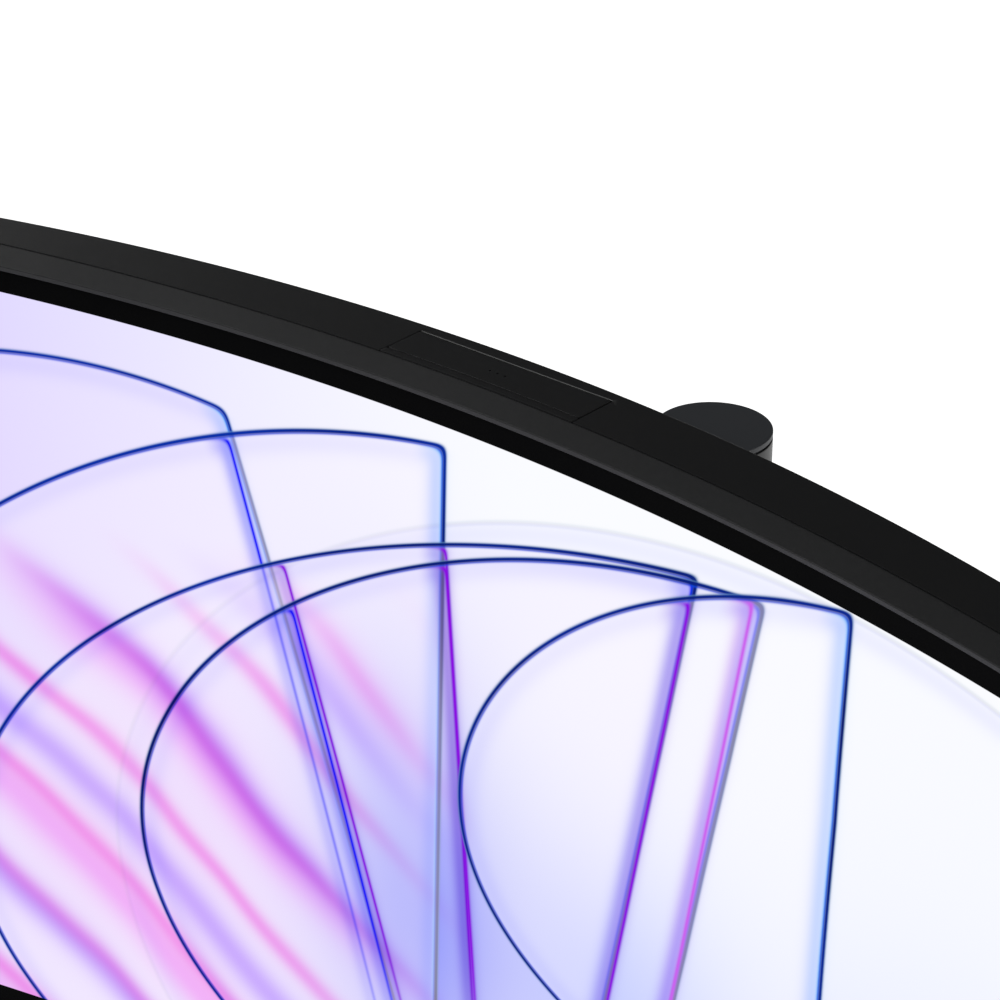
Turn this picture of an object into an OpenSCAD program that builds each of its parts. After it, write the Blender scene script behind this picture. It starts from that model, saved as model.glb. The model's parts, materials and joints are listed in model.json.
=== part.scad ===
// Curved widescreen computer monitor with a pop-up camera, on a height-adjusting round pillar stand.
// Millimetres. +X is to the viewer's right, +Y points away from the viewer, +Z is up.
// The origin is on the desk, under the centre of the whole monitor's box.
// Head parts are drawn in the screen frame: its origin is the centre of the screen's front face.
// Stand parts are drawn in the pillar frame: its origin is on the desk, on the pillar's axis.

/* [Screen] */
// Radius of the screen's curve
curve_r = 1000; // [900:50:1500]
// Width of the lit area, measured along the curve
active_w = 797.2; // [760:0.1:810]
// Height of the lit area
active_h = 333.7; // [320:0.1:340]
// Dark border above and beside the lit area
border = 9.3; // [8:0.1:10]
// Dark border below the lit area
border_low = 12; // [11:0.5:14]

/* [Front frame] */
// Gap between the screen's edge and the frame
frame_gap = 1.0; // [0.6:0.1:1.2]
// Width of the frame's narrow front face
lip_w = 2.3; // [1.5:0.1:3]
// Width of the front face along the bottom
lip_low_w = 6; // [4:0.5:8]
// How far the front face's outer edge stands before the screen
lip_proud = 3.3; // [2:0.1:4]
// Rise of the sloping face from the front face to the crease
slope_rise = 5.5; // [4:0.1:7]
// Depth of the crease behind the screen's front
crease_d = 4.5; // [4.5:0.1:5]

/* [Rear cover] */
// Depth of the rear cover's top edge behind the screen, at the centre
top_depth = 32; // [30:1:36]
// Plan radius of the rear cover's back
back_r = 853; // [800:1:900]
// How far the back stands out beyond the top edge
back_bulge = 8; // [5:1:12]
// Wall thickness of the covers
wall = 2.2; // [2:0.1:3]

/* [Rear housing] */
// Half width of the housing over the electronics
housing_x = 190; // [180:1:200]
// Top of the housing above the screen's centre
housing_top = 95; // [85:1:100]
// Bottom of the housing below the screen's centre
housing_low = 84; // [82:1:90]
// Depth of the housing's flat back behind the screen
housing_y = 70; // [70:1:74]

/* [Camera] */
// Half width of the camera
camera_x = 44.3; // [40:0.1:46]
// Back face of the camera behind the screen
camera_y = 25.3; // [24:0.1:26]
// Travel of the camera
camera_lift = 27; // [24:1:28]

/* [Stand] */
// Distance of the pillar's axis behind the screen
pillar_d = 144; // [144:1:150]
// Radius of the pillar
pillar_r = 23.1; // [22:0.1:25]
// Height of the pillar's top above the desk
pillar_h = 430; // [425:1:440]
// Height of the screen's centre above the desk
screen_z = 314; // [310:1:318]
// Travel of the screen above and below its middle height
lift = 60; // [50:1:60]
// Distance of the tilt axis behind the screen
hinge_d = 100; // [100:1:102]
// Width of the base
base_w = 280; // [260:5:320]
// Depth of the base
base_d = 245; // [235:5:260]
// Distance of the base's rear edge behind the pillar's axis
base_back = 46; // [44:1:50]
// Thickness of the base over its feet
base_t = 10; // [9:1:12]

/* [Hidden] */

fit = 0.05;          // running clearance on a radius
part_gap = 0.3;      // clearance between pieces that pass each other

half_h = active_h / 2;
half_w = active_w / 2;
glass_t = 1.2;
lip_tilt = 0.7;      // how much further the front face's outer edge stands out than its inner edge

lip_in = border + frame_gap;                // inner edge of the frame past the lit area
lip_out = lip_in + lip_w;                   // outer edge of its front face
crease = lip_out + slope_rise;              // top of its slope
low_in = border_low + frame_gap;
low_out = low_in + lip_low_w;
low_crease = low_out + 3;
top_z = half_h + crease;                    // top of the head, in the screen frame
low_z = -(half_h + low_crease);             // underside of the head
head_arc = half_w + crease;                 // half the head's width along the curve
corner_r = 5;                               // corner radius of the head, seen from the front

back_c = top_depth - back_r;                // centre of the back's plan radius
back_mid_r = back_r + back_bulge;
back_shoulder = 40;                         // height of the back's slopes at its top and bottom

tip_y = (curve_r - lip_proud) * cos(arc(half_w + lip_out)) - curve_r;
glass_y = -(pillar_d + base_back + tip_y) / 2;
pillar_y = glass_y + pillar_d;

vesa = 50;            // half the spacing of the mounting holes
pocket = 62;          // half the side of the pocket round them
pocket_floor = housing_y - 6;
plate_x = 42;         // half the side of the stand's mounting plate

shaft_r = 6;
knuckle_r = 13;
knuckle_x = 16;
ear_t = 6;
neck_x = 10;
neck_z = 15;

tube_in_r = pillar_r - 2.5;
rod_r = 3;
rod_at = [13.5, 6];
cap_t = 2.2;
cap_groove = 1;
tube_top = pillar_h - cap_t - cap_groove;
drum_r = 10;
drum_z = pillar_h - 18.8;
carriage_h = 50;
foot_z = 22;          // where the tube stands on its foot

foot_t = 2;           // thickness of the rubber feet
plate_z = 2.2;
plate_t = 3;
deck_z = foot_t + base_t;
post_r = 8;

jog_y = 20.5;
jog_pivot = low_z + 6.4;
chassis_y = 44;
board_y = 50;
board_t = 1.6;
main_studs = [[18, -50], [18, 34], [170, -50], [170, 34]];
power_studs = [[-170, -42], [-170, 54], [-72, -42], [-72, 54]];
housing_screws = [[-174, -66], [-174, 66], [174, -66], [174, 66]];
port_z = -74;                               // underside of the port plate, in the screen frame
socket_z = port_z - 0.6;
socket_y = board_y + board_t + 0.2;
camera_front = crease_d + part_gap;
camera_split = 8.2;
camera_kept = 17;                           // length of the camera that stays in its guide
camera_low = top_z - camera_lift - camera_kept;
lens_z = top_z - 13;

// Angle that a length covers along the screen's curve
function arc(mm) = mm / curve_r * 180 / PI;

// Plan position at a depth behind the screen's front, a length along its curve from the centre
function on_curve(depth, mm) = [
    (curve_r + depth) * sin(arc(mm)), (curve_r + depth) * cos(arc(mm)) - curve_r];

module at_screen() translate([0, glass_y, screen_z]) children();
module at_pillar() translate([0, pillar_y, 0]) children();
module both_sides() for (s = [-1, 1]) scale_x(s) children();
module scale_x(s) if (s > 0) children(); else mirror([1, 0, 0]) children();

// Band that follows the screen's curve; each point of the profile is [depth, height]
module curved_band(profile, half_len) {
    turn = arc(half_len);
    translate([0, -curve_r, 0]) rotate([0, 0, 90 - turn])
        rotate_extrude(angle = 2 * turn, $fn = 256)
            polygon([for (p = profile) [curve_r + p[0], p[1]]]);
}

// The same, with a plain rectangular section
module curved_slab(d0, d1, z0, z1, half_len)
    curved_band([[d0, z0], [d1, z0], [d1, z1], [d0, z1]], half_len);

// Turns its children round the screen's curve, to a length along it
module along_curve(mm)
    translate([0, -curve_r, 0]) rotate([0, 0, -arc(mm)]) translate([0, curve_r, 0]) children();

// Turns its children round the back's plan centre, to a length along it
module along_back(mm)
    translate([0, back_c, 0]) rotate([0, 0, -mm / back_mid_r * 180 / PI])
        translate([0, -back_c, 0]) children();

module box(lo, hi) translate(lo) cube(hi - lo);

// Cylinder along Y
module rod_y(r, y0, y1, $fn = 48) translate([0, y0, 0]) rotate([-90, 0, 0]) cylinder(r = r, h = y1 - y0);

// Cylinder along X
module rod_x(r, x0, x1, $fn = 48) translate([x0, 0, 0]) rotate([0, 90, 0]) cylinder(r = r, h = x1 - x0);

module ring(r_in, r_out, h, $fn = 72) difference() {
    cylinder(r = r_out, h = h);
    translate([0, 0, -1]) cylinder(r = r_in, h = h + 2);
}

// Upright block with round corners, centred on X and Y
module rounded_block(w, d, h, r, $fn = 48) {
    translate([-w / 2 + r, -d / 2, 0]) cube([w - 2 * r, d, h]);
    translate([-w / 2, -d / 2 + r, 0]) cube([w, d - 2 * r, h]);
    for (x = [-1, 1], y = [-1, 1])
        translate([x * (w / 2 - r), y * (d / 2 - r), 0]) cylinder(r = r, h = h);
}

// What is cut from the head's four corners, so that it is round there from the front
module corner_cuts()
    for (x = [-1, 1], z = [low_z + corner_r, top_z - corner_r])
        scale_x(x) along_curve(head_arc) translate([-corner_r, -60, z]) difference() {
            translate([0, 0, z > 0 ? 0 : -corner_r - 1]) cube([corner_r + 10, 120, corner_r + 1]);
            rod_y(corner_r, -1, 121);
        }

// --- Screen module ---

module front_frame() color([0.13, 0.13, 0.14]) at_screen() difference() {
    curved_band([[-lip_proud, -(half_h + low_out)], [crease_d, low_z], [crease_d, top_z],
        [-lip_proud, half_h + lip_out], [lip_tilt - lip_proud, half_h + lip_in],
        [lip_tilt - lip_proud, -(half_h + low_in)]], head_arc);
    curved_slab(-lip_proud - 5, glass_t + 0.1, -(half_h + low_in), half_h + lip_in, half_w + lip_in);
    curved_slab(glass_t, crease_d + 5, -(half_h + border_low + 0.2), half_h + border + 0.2,
        half_w + border + 0.2);
    both_sides() side_bevel();
    corner_cuts();
}

// Wedge that gives the frame's side the same slope as its top
module side_bevel() {
    front = on_curve(-lip_proud, half_w + lip_out);
    back = on_curve(crease_d, head_arc);
    translate([0, 0, low_z - 5]) linear_extrude(top_z - low_z + 10)
        polygon([front, back, back + [30, 0], front + [30, -30], front + [0, -30]]);
}

module lcd_cell() color([0.05, 0.05, 0.06]) at_screen()
    curved_slab(0, glass_t, -(half_h + border_low), half_h + border, half_w + border);

module optical_films() color([0.9, 0.9, 0.92]) at_screen()
    curved_slab(1.3, 1.9, -(half_h + 4), half_h + 4, half_w + 4);

module light_guide() color([0.85, 0.92, 0.95]) at_screen()
    curved_slab(2.0, 3.8, -(half_h + 4), half_h + 4, half_w + 4);

module led_bar() color([0.95, 0.9, 0.6]) at_screen()
    curved_slab(2.0, 3.8, -(half_h + 8), -(half_h + 4.5), half_w + 2);

module panel_back_plate() color([0.7, 0.7, 0.72]) at_screen() difference() {
    curved_slab(1.3, crease_d, -(half_h + border_low), half_h + border, half_w + border);
    curved_slab(1.2, 3.9, -(half_h + 9), half_h + 5, half_w + 5);
}

// --- Covers ---

// Solid behind the crease: its back is turned about its own centre, so the head is thinner at its sides
module back_body(inset) {
    z_hi = top_z - inset;
    z_lo = low_z + inset;
    turn = 34;
    intersection() {
        translate([0, back_c, 0]) rotate([0, 0, 90 - turn]) rotate_extrude(angle = 2 * turn, $fn = 256)
            polygon([[700, z_lo], [back_r - inset, z_lo], [back_mid_r - inset, z_lo + back_shoulder],
                [back_mid_r - inset, z_hi - back_shoulder], [back_r - inset, z_hi], [700, z_hi]]);
        curved_slab(crease_d + 0.1, 90, z_lo - 1, z_hi + 1, head_arc - inset);
    }
}

module rear_cover() color([0.1, 0.1, 0.11]) at_screen() difference() {
    back_body(0);
    back_body(wall);
    curved_slab(crease_d - 1, crease_d + 2, low_z + wall, top_z - wall, head_arc - wall);
    box([-camera_x - part_gap, -5, top_z - wall - 1], [camera_x + part_gap, camera_y + part_gap, top_z + 5]);
    box([-housing_x + 26, 0, -60], [housing_x - 26, 60, housing_top - 12]);
    for (p = housing_screws) translate([p[0], 0, p[1]]) rod_y(1.6, 0, 40, $fn = 24);
    both_sides() for (i = [-5:5]) along_curve(258 + 7 * i)
        box([-1.1, 7, low_z - 1], [1.1, 16, low_z + wall + 1]);
    translate([0, jog_y, low_z - 1]) cylinder(r = 7.5, h = wall + 2, $fn = 48);
    translate([26, jog_y, low_z - 1]) cylinder(r = 1.5 + fit, h = wall + 2, $fn = 24);
    along_back(250) lock_slot();
    corner_cuts();
}

// Slot for a security lock
module lock_slot() box([-3.5, 20, -131.5], [3.5, 60, -128.5]);

// Tapered block of the housing: the same shape, drawn smaller, is its inside
module housing_block(inset, y0) {
    x = housing_x - inset;
    zt = housing_top - inset;
    y = housing_y - inset;
    intersection() {
        translate([0, 0, -housing_low]) linear_extrude(zt + housing_low)
            polygon([[-x, y0], [x, y0], [x, 48], [x - 22, y], [-x + 22, y], [-x, 48]]);
        translate([-x - 1, 0, 0]) rotate([90, 0, 90]) linear_extrude(2 * x + 2)
            polygon([[y0, -housing_low], [y, -housing_low], [y, zt - 20], [50, zt], [y0, zt]]);
    }
}

module rear_housing() color([0.09, 0.09, 0.1]) at_screen() difference() {
    union() {
        difference() {
            housing_block(0, 10);
            translate([0, 0, -1]) housing_block(wall, 0);
        }
        box([-pocket - wall, pocket_floor - wall, -pocket - wall], [pocket + wall, housing_y, pocket + wall]);
        for (p = housing_screws) translate([p[0], 0, p[1]]) {
            rod_y(4.5, 10, 36);
            scale_x(p[0]) translate([0, 10, -1]) cube([housing_x - 1 - abs(p[0]), 26, 2]);
        }
    }
    cover_back(0.1);
    box([-pocket, pocket_floor, -pocket], [pocket, 90, pocket]);
    for (x = [-vesa, vesa], z = [-vesa, vesa]) translate([x, 0, z]) rod_y(4.5, 55, 70);
    for (p = housing_screws) translate([p[0], 0, p[1]]) rod_y(1.3, 0, 33, $fn = 24);
    for (i = [-16:16]) translate([9 * i, 0, 0])
        box([-1.5, 50, 68], [1.5, 64, housing_top + 5]);
}

// Everything before the rear cover's back, with a gap
module cover_back(gap)
    translate([0, back_c, -150]) cylinder(r = back_mid_r + gap, h = 300, $fn = 256);

module vesa_bracket() color([0.75, 0.75, 0.77]) at_screen() difference() {
    union() {
        box([-58, pocket_floor - wall - 3, -58], [58, pocket_floor - wall - 0.2, 58]);
        box([-58, chassis_y + 1.1, -58], [-56, pocket_floor - wall - 3, 58]);
        box([-58, chassis_y + 1.1, 56], [58, pocket_floor - wall - 3, 58]);
        for (x = [-vesa, vesa], z = [-vesa, vesa]) translate([x, 0, z])
            rod_y(4.4, pocket_floor - 10, pocket_floor);
    }
    for (x = [-vesa, vesa], z = [-vesa, vesa]) translate([x, 0, z])
        rod_y(2, pocket_floor - 9, pocket_floor + 1);
    rod_y(14, 40, 80);
}

module chassis_plate() color([0.68, 0.69, 0.7]) at_screen() difference() {
    box([-180, chassis_y, -70], [180, chassis_y + 1, 72]);
    for (x = [-150, 150], z = [-50, 60]) translate([x, 0, z]) rod_y(2, 40, 50);
    rod_y(24, 40, 50);
}

// Posts that hold the chassis plate off the screen, and the studs that hold the boards off the plate
module chassis_posts() color([0.72, 0.72, 0.74]) at_screen() {
    for (x = [-150, 150], z = [-50, 60]) translate([x, 0, z]) rod_y(4, -6.4, chassis_y - 0.1);
    for (p = concat(main_studs, power_studs)) translate([p[0], 0, p[1]]) {
        rod_y(3, chassis_y + 1.1, board_y - 0.1, $fn = 32);
        rod_y(1.5, chassis_y + 2, board_y + board_t + 1, $fn = 24);
        rod_y(2.8, board_y + board_t + 0.1, board_y + board_t + 1.6, $fn = 32);
    }
}

// --- Electronics ---

module main_board() color([0.05, 0.3, 0.15]) at_screen() difference() {
    box([12, board_y, -72], [176, board_y + board_t, 40]);
    for (p = main_studs) translate([p[0], 0, p[1]]) rod_y(1.6, 45, 55);
}

module main_board_parts() color([0.15, 0.15, 0.16]) at_screen() {
    y = board_y + board_t + 0.05;
    box([84, y, -38], [112, y + 2.5, -10]);
    for (i = [0:6]) box([86 + 4 * i - 1, y + 2.6, -38], [86 + 4 * i + 1, y + 12, -10]);
    box([84, y + 2.5, -38], [112, y + 3.5, -10]);
    box([128, y, -30], [146, y + 1.4, -18]);
    box([128, y, -8], [146, y + 1.4, 4]);
    for (x = [72, 120, 154, 164]) translate([x, 0, 22]) rod_y(3, y, y + 8, $fn = 24);
}

module power_board() color([0.55, 0.42, 0.2]) at_screen() difference() {
    box([-176, board_y, -48], [-66, board_y + board_t, 60]);
    for (p = power_studs) translate([p[0], 0, p[1]]) rod_y(1.6, 45, 55);
}

module power_board_parts() color([0.25, 0.22, 0.2]) at_screen() {
    y = board_y + board_t + 0.05;
    box([-128, y, -10], [-100, y + 12, 20]);
    for (z = [-30, -8, 14]) translate([-154, 0, z]) rod_y(8, y, y + 12, $fn = 32);
    for (x = [-92, -80], z = [-20, 0, 20]) translate([x, 0, z]) rod_y(4, y, y + 10, $fn = 24);
    box([-140, y, 30], [-96, y + 10, 34]);
}

// Flat cable from the screen's back, through the chassis plate, to the main board
module panel_cable() color([0.85, 0.8, 0.7]) at_screen() {
    box([6, 4.7, -8], [6.4, 46.4, 8]);
    box([6, 46, -8], [24, 46.4, 8]);
    box([23.6, 46, -8], [24, board_y - 0.1, 8]);
}

// Metal shell of a socket that opens downward: w by d outside, with a tongue across its mouth
module socket(w, d, deep, tongue) {
    difference() {
        box([-w / 2, 0, socket_z], [w / 2, d, socket_z + deep + 2]);
        box([-w / 2 + 0.5, 0.5, socket_z - 1], [w / 2 - 0.5, d - 0.5, socket_z + deep]);
    }
    box([-w / 2 + 2, (d - tongue) / 2, socket_z + 1.5], [w / 2 - 2, (d + tongue) / 2, socket_z + deep + 0.5]);
}

module hdmi_socket() color([0.75, 0.75, 0.76]) at_screen()
    translate([56, socket_y, 0]) socket(15, 5.6, 12, 1.2);

module display_socket() color([0.75, 0.75, 0.76]) at_screen()
    translate([78, socket_y, 0]) socket(17, 5.8, 12, 1.4);

module usb_c_socket() color([0.75, 0.75, 0.76]) at_screen()
    translate([36, socket_y, 0]) socket(9.6, 3.8, 9, 0.7);

module usb_a_sockets() color([0.2, 0.35, 0.7]) at_screen()
    for (i = [0:2]) translate([128 + 17 * i, socket_y, 0]) socket(13.4, 6.2, 12, 1.8);

module lan_socket() color([0.7, 0.7, 0.72]) at_screen()
    translate([105, socket_y, 0]) difference() {
        box([-8.2, 0, socket_z], [8.2, 13.4, socket_z + 17.8]);
        box([-6, 2, socket_z - 1], [6, 10, socket_z + 13]);
        box([-3, 9, socket_z - 1], [3, 12.2, socket_z + 13]);
    }

module headphone_socket() color([0.12, 0.12, 0.13]) at_screen()
    translate([20, socket_y + 3.6, socket_z]) difference() {
        union() {
            translate([-3.5, -3.5, 2]) cube([7, 7, 14]);
            cylinder(r = 3, h = 3, $fn = 48);
        }
        translate([0, 0, -1]) cylinder(r = 1.8, h = 15, $fn = 48);
    }

module power_inlet() color([0.1, 0.1, 0.1]) at_screen()
    translate([-120, 56, socket_z]) {
        difference() {
            translate([-14, -10, 0]) cube([28, 20, 21]);
            translate([-12, -8, -1]) cube([24, 16, 18]);
        }
        for (p = [[-8, -2], [8, -2], [0, 2]]) translate([p[0] - 1, p[1] - 2, 3]) cube([2, 4, 14.5]);
    }

// Plate that the sockets look out of, set up inside the housing's open underside
module port_plate() color([0.3, 0.3, 0.31]) at_screen() difference() {
    intersection() {
        housing_block(wall + 0.2, 10);
        box([-200, 0, port_z], [200, 90, port_z + 1]);
    }
    cover_back(0.3);
    port_hole(56, socket_y, 15, 5.6);
    port_hole(78, socket_y, 17, 5.8);
    port_hole(36, socket_y, 9.6, 3.8);
    for (i = [0:2]) port_hole(128 + 17 * i, socket_y, 13.4, 6.2);
    port_hole(105, socket_y, 16.4, 13.4);
    port_hole(-120, 46, 28, 20);
    translate([20, socket_y + 3.6, port_z - 1]) cylinder(r = 3.25, h = 5, $fn = 48);
}

// Hole with 0.25 mm to spare round a socket of w by d
module port_hole(x, y, w, d)
    box([x - w / 2 - 0.25, y - 0.25, port_z - 2], [x + w / 2 + 0.25, y + d + 0.25, port_z + 3]);

// Down-firing speaker: a closed box with a cone set in its underside
module speaker() {
    z0 = low_z + wall + 0.8;
    difference() {
        box([-45, 5.5, z0], [45, 17, z0 + 35]);
        for (x = [-22, 22]) translate([x, 11.2, z0 - 1]) cylinder(r = 4.6, h = 3, $fn = 36);
    }
    for (x = [-22, 22]) translate([x, 11.2, z0 + 0.4]) cylinder(r1 = 4, r2 = 1.6, h = 1.8, $fn = 36);
}

module speaker_left() color([0.14, 0.14, 0.15]) at_screen() along_curve(-258) speaker();
module speaker_right() color([0.14, 0.14, 0.15]) at_screen() along_curve(258) speaker();

module lock_plate() color([0.7, 0.7, 0.72]) at_screen() along_back(250) difference() {
    y1 = top_depth + back_bulge - wall - 0.4;
    box([-9, y1 - 1.5, -138], [9, y1, -122]);
    lock_slot();
}

module power_led() color([0.8, 0.85, 0.9]) at_screen() translate([26, jog_y, low_z - 0.3]) {
    cylinder(r = 1.5, h = 5, $fn = 24);
    translate([0, 0, wall + 0.5]) cylinder(r = 2.5, h = 2, $fn = 24);
}

// Screws that hold the housing to the rear cover, put in from inside
module cover_screws() color([0.2, 0.2, 0.21]) at_screen()
    for (p = housing_screws) translate([p[0], 0, p[1]]) {
        rod_y(3, 16.6, 18.8, $fn = 32);
        rod_y(1.25, 18.5, 32, $fn = 24);
    }

// --- Camera ---

module camera_guide() color([0.2, 0.2, 0.21]) at_screen() difference() {
    box([-48, 5.4, camera_low - 8], [48, 27.8, top_z - wall - 0.3]);
    box([-camera_x - part_gap, 0, camera_low - 6], [camera_x + part_gap, camera_y + part_gap, top_z + 5]);
    box([-20, 10, camera_low - 10], [20, 20, camera_low - 5]);
}

// Centre line of a coil spring that stands on Z
function coil(r, height, turns, per_turn) =
    let (n = turns * per_turn)
        [for (i = [0:n]) [r * cos(360 * i / per_turn), r * sin(360 * i / per_turn), height * i / n]];

// Round wire along a list of points, skinned with triangles
module wire(path, r, sides) {
    n = len(path);
    function heading(i) = let (d = path[min(i + 1, n - 1)] - path[max(i - 1, 0)]) d / norm(d);
    points = [for (i = [0:n - 1])
        let (t = heading(i), c = cross(t, [0, 0, 1]), u = c / norm(c), v = cross(u, t))
            for (k = [0:sides - 1]) path[i] + r * (cos(360 * k / sides) * u + sin(360 * k / sides) * v)];
    skin = [for (i = [0:n - 2], k = [0:sides - 1], half = [0, 1])
        let (a = i * sides + k, b = i * sides + (k + 1) % sides)
            half == 0 ? [a, b, b + sides] : [a, b + sides, a + sides]];
    ends = [[for (k = [0:sides - 1]) sides - 1 - k], [for (k = [0:sides - 1]) (n - 1) * sides + k]];
    polyhedron(points, concat(skin, ends));
}

module camera_springs() color([0.8, 0.8, 0.82]) at_screen() both_sides()
    translate([36, 19, camera_low - 5.5]) wire(coil(2.6, top_z - camera_low + 3, 9, 8), 0.4, 5);

module camera_shell() color([0.1, 0.1, 0.11]) at_screen() difference() {
    box([-camera_x, 5, camera_low], [camera_x, camera_y, top_z]);
    box([-camera_x + 1.6, 0, camera_low - 1], [camera_x - 1.6, camera_y - 1.6, top_z - 1.8]);
    curved_slab(0, camera_split + 0.25, camera_low - 1, top_z + 1, camera_x + 10);
    for (x = [-3.5, 0, 3.5]) translate([x, 16.4, top_z - 5]) cylinder(r = 0.45, h = 10, $fn = 24);
}

module camera_window() color([0.04, 0.04, 0.05]) at_screen() difference() {
    intersection() {
        curved_slab(camera_front, camera_split, camera_low, top_z, camera_x + 10);
        box([-camera_x, 0, camera_low - 1], [camera_x, 20, top_z + 1]);
    }
    translate([0, 0, lens_z]) rod_y(4.2, 0, 20);
}

module camera_lens_barrel() color([0.12, 0.12, 0.13]) at_screen() translate([0, 0, lens_z]) difference() {
    rod_y(4.1, 5.6, 13.8);
    rod_y(2.8, 5, 7.4);
}

module camera_lens() color([0.1, 0.12, 0.2]) at_screen() translate([0, 0, lens_z]) intersection() {
    rod_y(2.75, 5.2, 7.4);
    translate([0, 12.4, 0]) sphere(r = 6.6, $fn = 64);
}

module camera_board() color([0.05, 0.25, 0.4]) at_screen() {
    box([-31, 14, top_z - 26], [31, 15, top_z - 3]);
    for (x = [-16, 16]) translate([x, 0, lens_z]) rod_y(2.4, 9, 14.1, $fn = 32);
    box([-8, 14.9, top_z - 22], [8, 16.6, top_z - 8]);
}

// --- Joystick under the head ---

module jog_base() color([0.16, 0.16, 0.17]) at_screen() translate([0, jog_y, jog_pivot]) difference() {
    box([-11, -11, -3], [11, 9, 8.5]);
    translate([0, 0, -4]) cylinder(r = 7.6, h = 9, $fn = 48);
    rod_x(0.8, -12, 12, $fn = 24);
}

module jog_gimbal() color([0.5, 0.5, 0.52]) at_screen() translate([0, jog_y, jog_pivot]) difference() {
    union() {
        translate([0, 0, -1.5]) ring(5.2, 6.8, 3);
        for (s = [-1, 1]) scale_x(s) rod_x(0.75, 6, 9.5, $fn = 24);
    }
    rod_y(0.8, -8, 8, $fn = 24);
}

module jog_stick() color([0.6, 0.6, 0.62]) at_screen() translate([0, jog_y, jog_pivot]) {
    translate([0, 0, -10.6]) cylinder(r = 2, h = 12.6, $fn = 36);
    rod_y(0.75, -6.3, 6.3, $fn = 24);
    sphere(r = 2.8, $fn = 48);
}

module jog_cap() color([0.09, 0.09, 0.1]) at_screen() translate([0, jog_y, jog_pivot]) difference() {
    union() {
        translate([0, 0, -14.6]) cylinder(r = 5.4, h = 5.4, $fn = 64);
        translate([0, 0, -9.3]) cylinder(r = 3.4, h = 4.2, $fn = 48);
    }
    translate([0, 0, -11.8]) cylinder(r = 2 + fit, h = 10, $fn = 36);
}

// --- Tilt head ---

module mount_plate() color([0.12, 0.12, 0.13]) at_screen() difference() {
    union() {
        box([-plate_x, pocket_floor + 0.1, -plate_x], [plate_x, pocket_floor + 3.6, plate_x]);
        both_sides() translate([knuckle_x + 2, 0, 0]) {
            box([0, pocket_floor + 3, -knuckle_r], [ear_t, hinge_d, knuckle_r]);
            translate([0, hinge_d, 0]) rod_x(knuckle_r, 0, ear_t, $fn = 72);
        }
    }
    translate([0, hinge_d, 0]) rod_x(shaft_r, -40, 40);
    for (x = [-30, 30], z = [-30, 30]) translate([x, 0, z]) rod_y(2.2, 60, 80, $fn = 24);
    box([-12 - part_gap, 60, -plate_x - 1], [12 + part_gap, 80, -30]);
}

// Button in the plate's lower edge that lets the stand off the head when it is pushed up
module release_latch() color([0.2, 0.2, 0.21]) at_screen() {
    box([-12, pocket_floor + 0.2, -46], [12, pocket_floor + 3.4, -33.5]);
    box([-9, pocket_floor + 3.3, -46], [9, pocket_floor + 7, -41]);
}

module hinge_shaft() color([0.78, 0.78, 0.8]) at_screen() translate([0, hinge_d, 0]) {
    rod_x(shaft_r, -knuckle_x - ear_t - 8, knuckle_x + ear_t + 8);
    both_sides() rod_x(11, knuckle_x + ear_t + 4.2, knuckle_x + ear_t + 8, $fn = 6);
}

module hinge_washers() color([0.6, 0.6, 0.62]) at_screen() translate([0, hinge_d, 0]) both_sides() {
    translate([knuckle_x + 0.2, 0, 0]) rotate([0, 90, 0]) ring(shaft_r + fit, 11, 1.6);
    translate([knuckle_x + ear_t + 2.2, 0, 0]) rotate([0, 90, 0]) ring(shaft_r + fit, 10, 1.9);
}

module head_arm() color([0.3, 0.3, 0.31]) at_screen() difference() {
    union() {
        translate([0, hinge_d, 0]) rod_x(knuckle_r, -knuckle_x, knuckle_x, $fn = 72);
        box([-neck_x, hinge_d, -neck_z + 3], [neck_x, pillar_d - 16.5, neck_z - 3]);
    }
    translate([0, hinge_d, 0]) rod_x(shaft_r + fit, -40, 40);
}

// Block that rides on the rods inside the pillar
module carriage() color([0.45, 0.45, 0.47]) at_pillar() translate([0, 0, screen_z]) difference() {
    translate([0, 0, -carriage_h / 2]) cylinder(r = tube_in_r - 0.5, h = carriage_h, $fn = 72);
    box([-neck_x - 0.1, -40, -neck_z + 2.9], [neck_x + 0.1, -16.4, neck_z - 2.9]);
    for (s = [-1, 1]) translate([s * rod_at[0], rod_at[1], -60]) cylinder(r = rod_r + fit, h = 120, $fn = 36);
    translate([0, 2, -60]) cylinder(r = 5, h = 120, $fn = 36);
}

module arm_shroud() color([0.1, 0.1, 0.11]) at_screen() difference() {
    box([-knuckle_x, hinge_d + 14.5, -neck_z - 3], [knuckle_x, pillar_d - 14, neck_z + 3]);
    box([-neck_x - 0.1, hinge_d, -neck_z + 2.9], [neck_x + 0.1, pillar_d, neck_z - 2.9]);
    translate([0, pillar_d, -60]) cylinder(r = pillar_r + part_gap, h = 120, $fn = 72);
}

// --- Pillar ---

module pillar_tube() color([0.11, 0.11, 0.12]) at_pillar() difference() {
    translate([0, 0, foot_z]) ring(tube_in_r, pillar_r, tube_top - foot_z, $fn = 96);
    slot = lift + neck_z + 5;
    box([-neck_x - 0.5, -40, screen_z - slot], [neck_x + 0.5, -10, screen_z + slot]);
}

module pillar_cap() color([0.14, 0.14, 0.15]) at_pillar() {
    translate([0, 0, pillar_h - cap_t]) cylinder(r = pillar_r, h = cap_t, $fn = 96);
    translate([0, 0, tube_top + 0.05]) cylinder(r = pillar_r - 0.8, h = cap_groove, $fn = 96);
    translate([0, 0, tube_top - 1.5]) cylinder(r = tube_in_r - 0.2, h = 2, $fn = 96);
}

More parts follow.
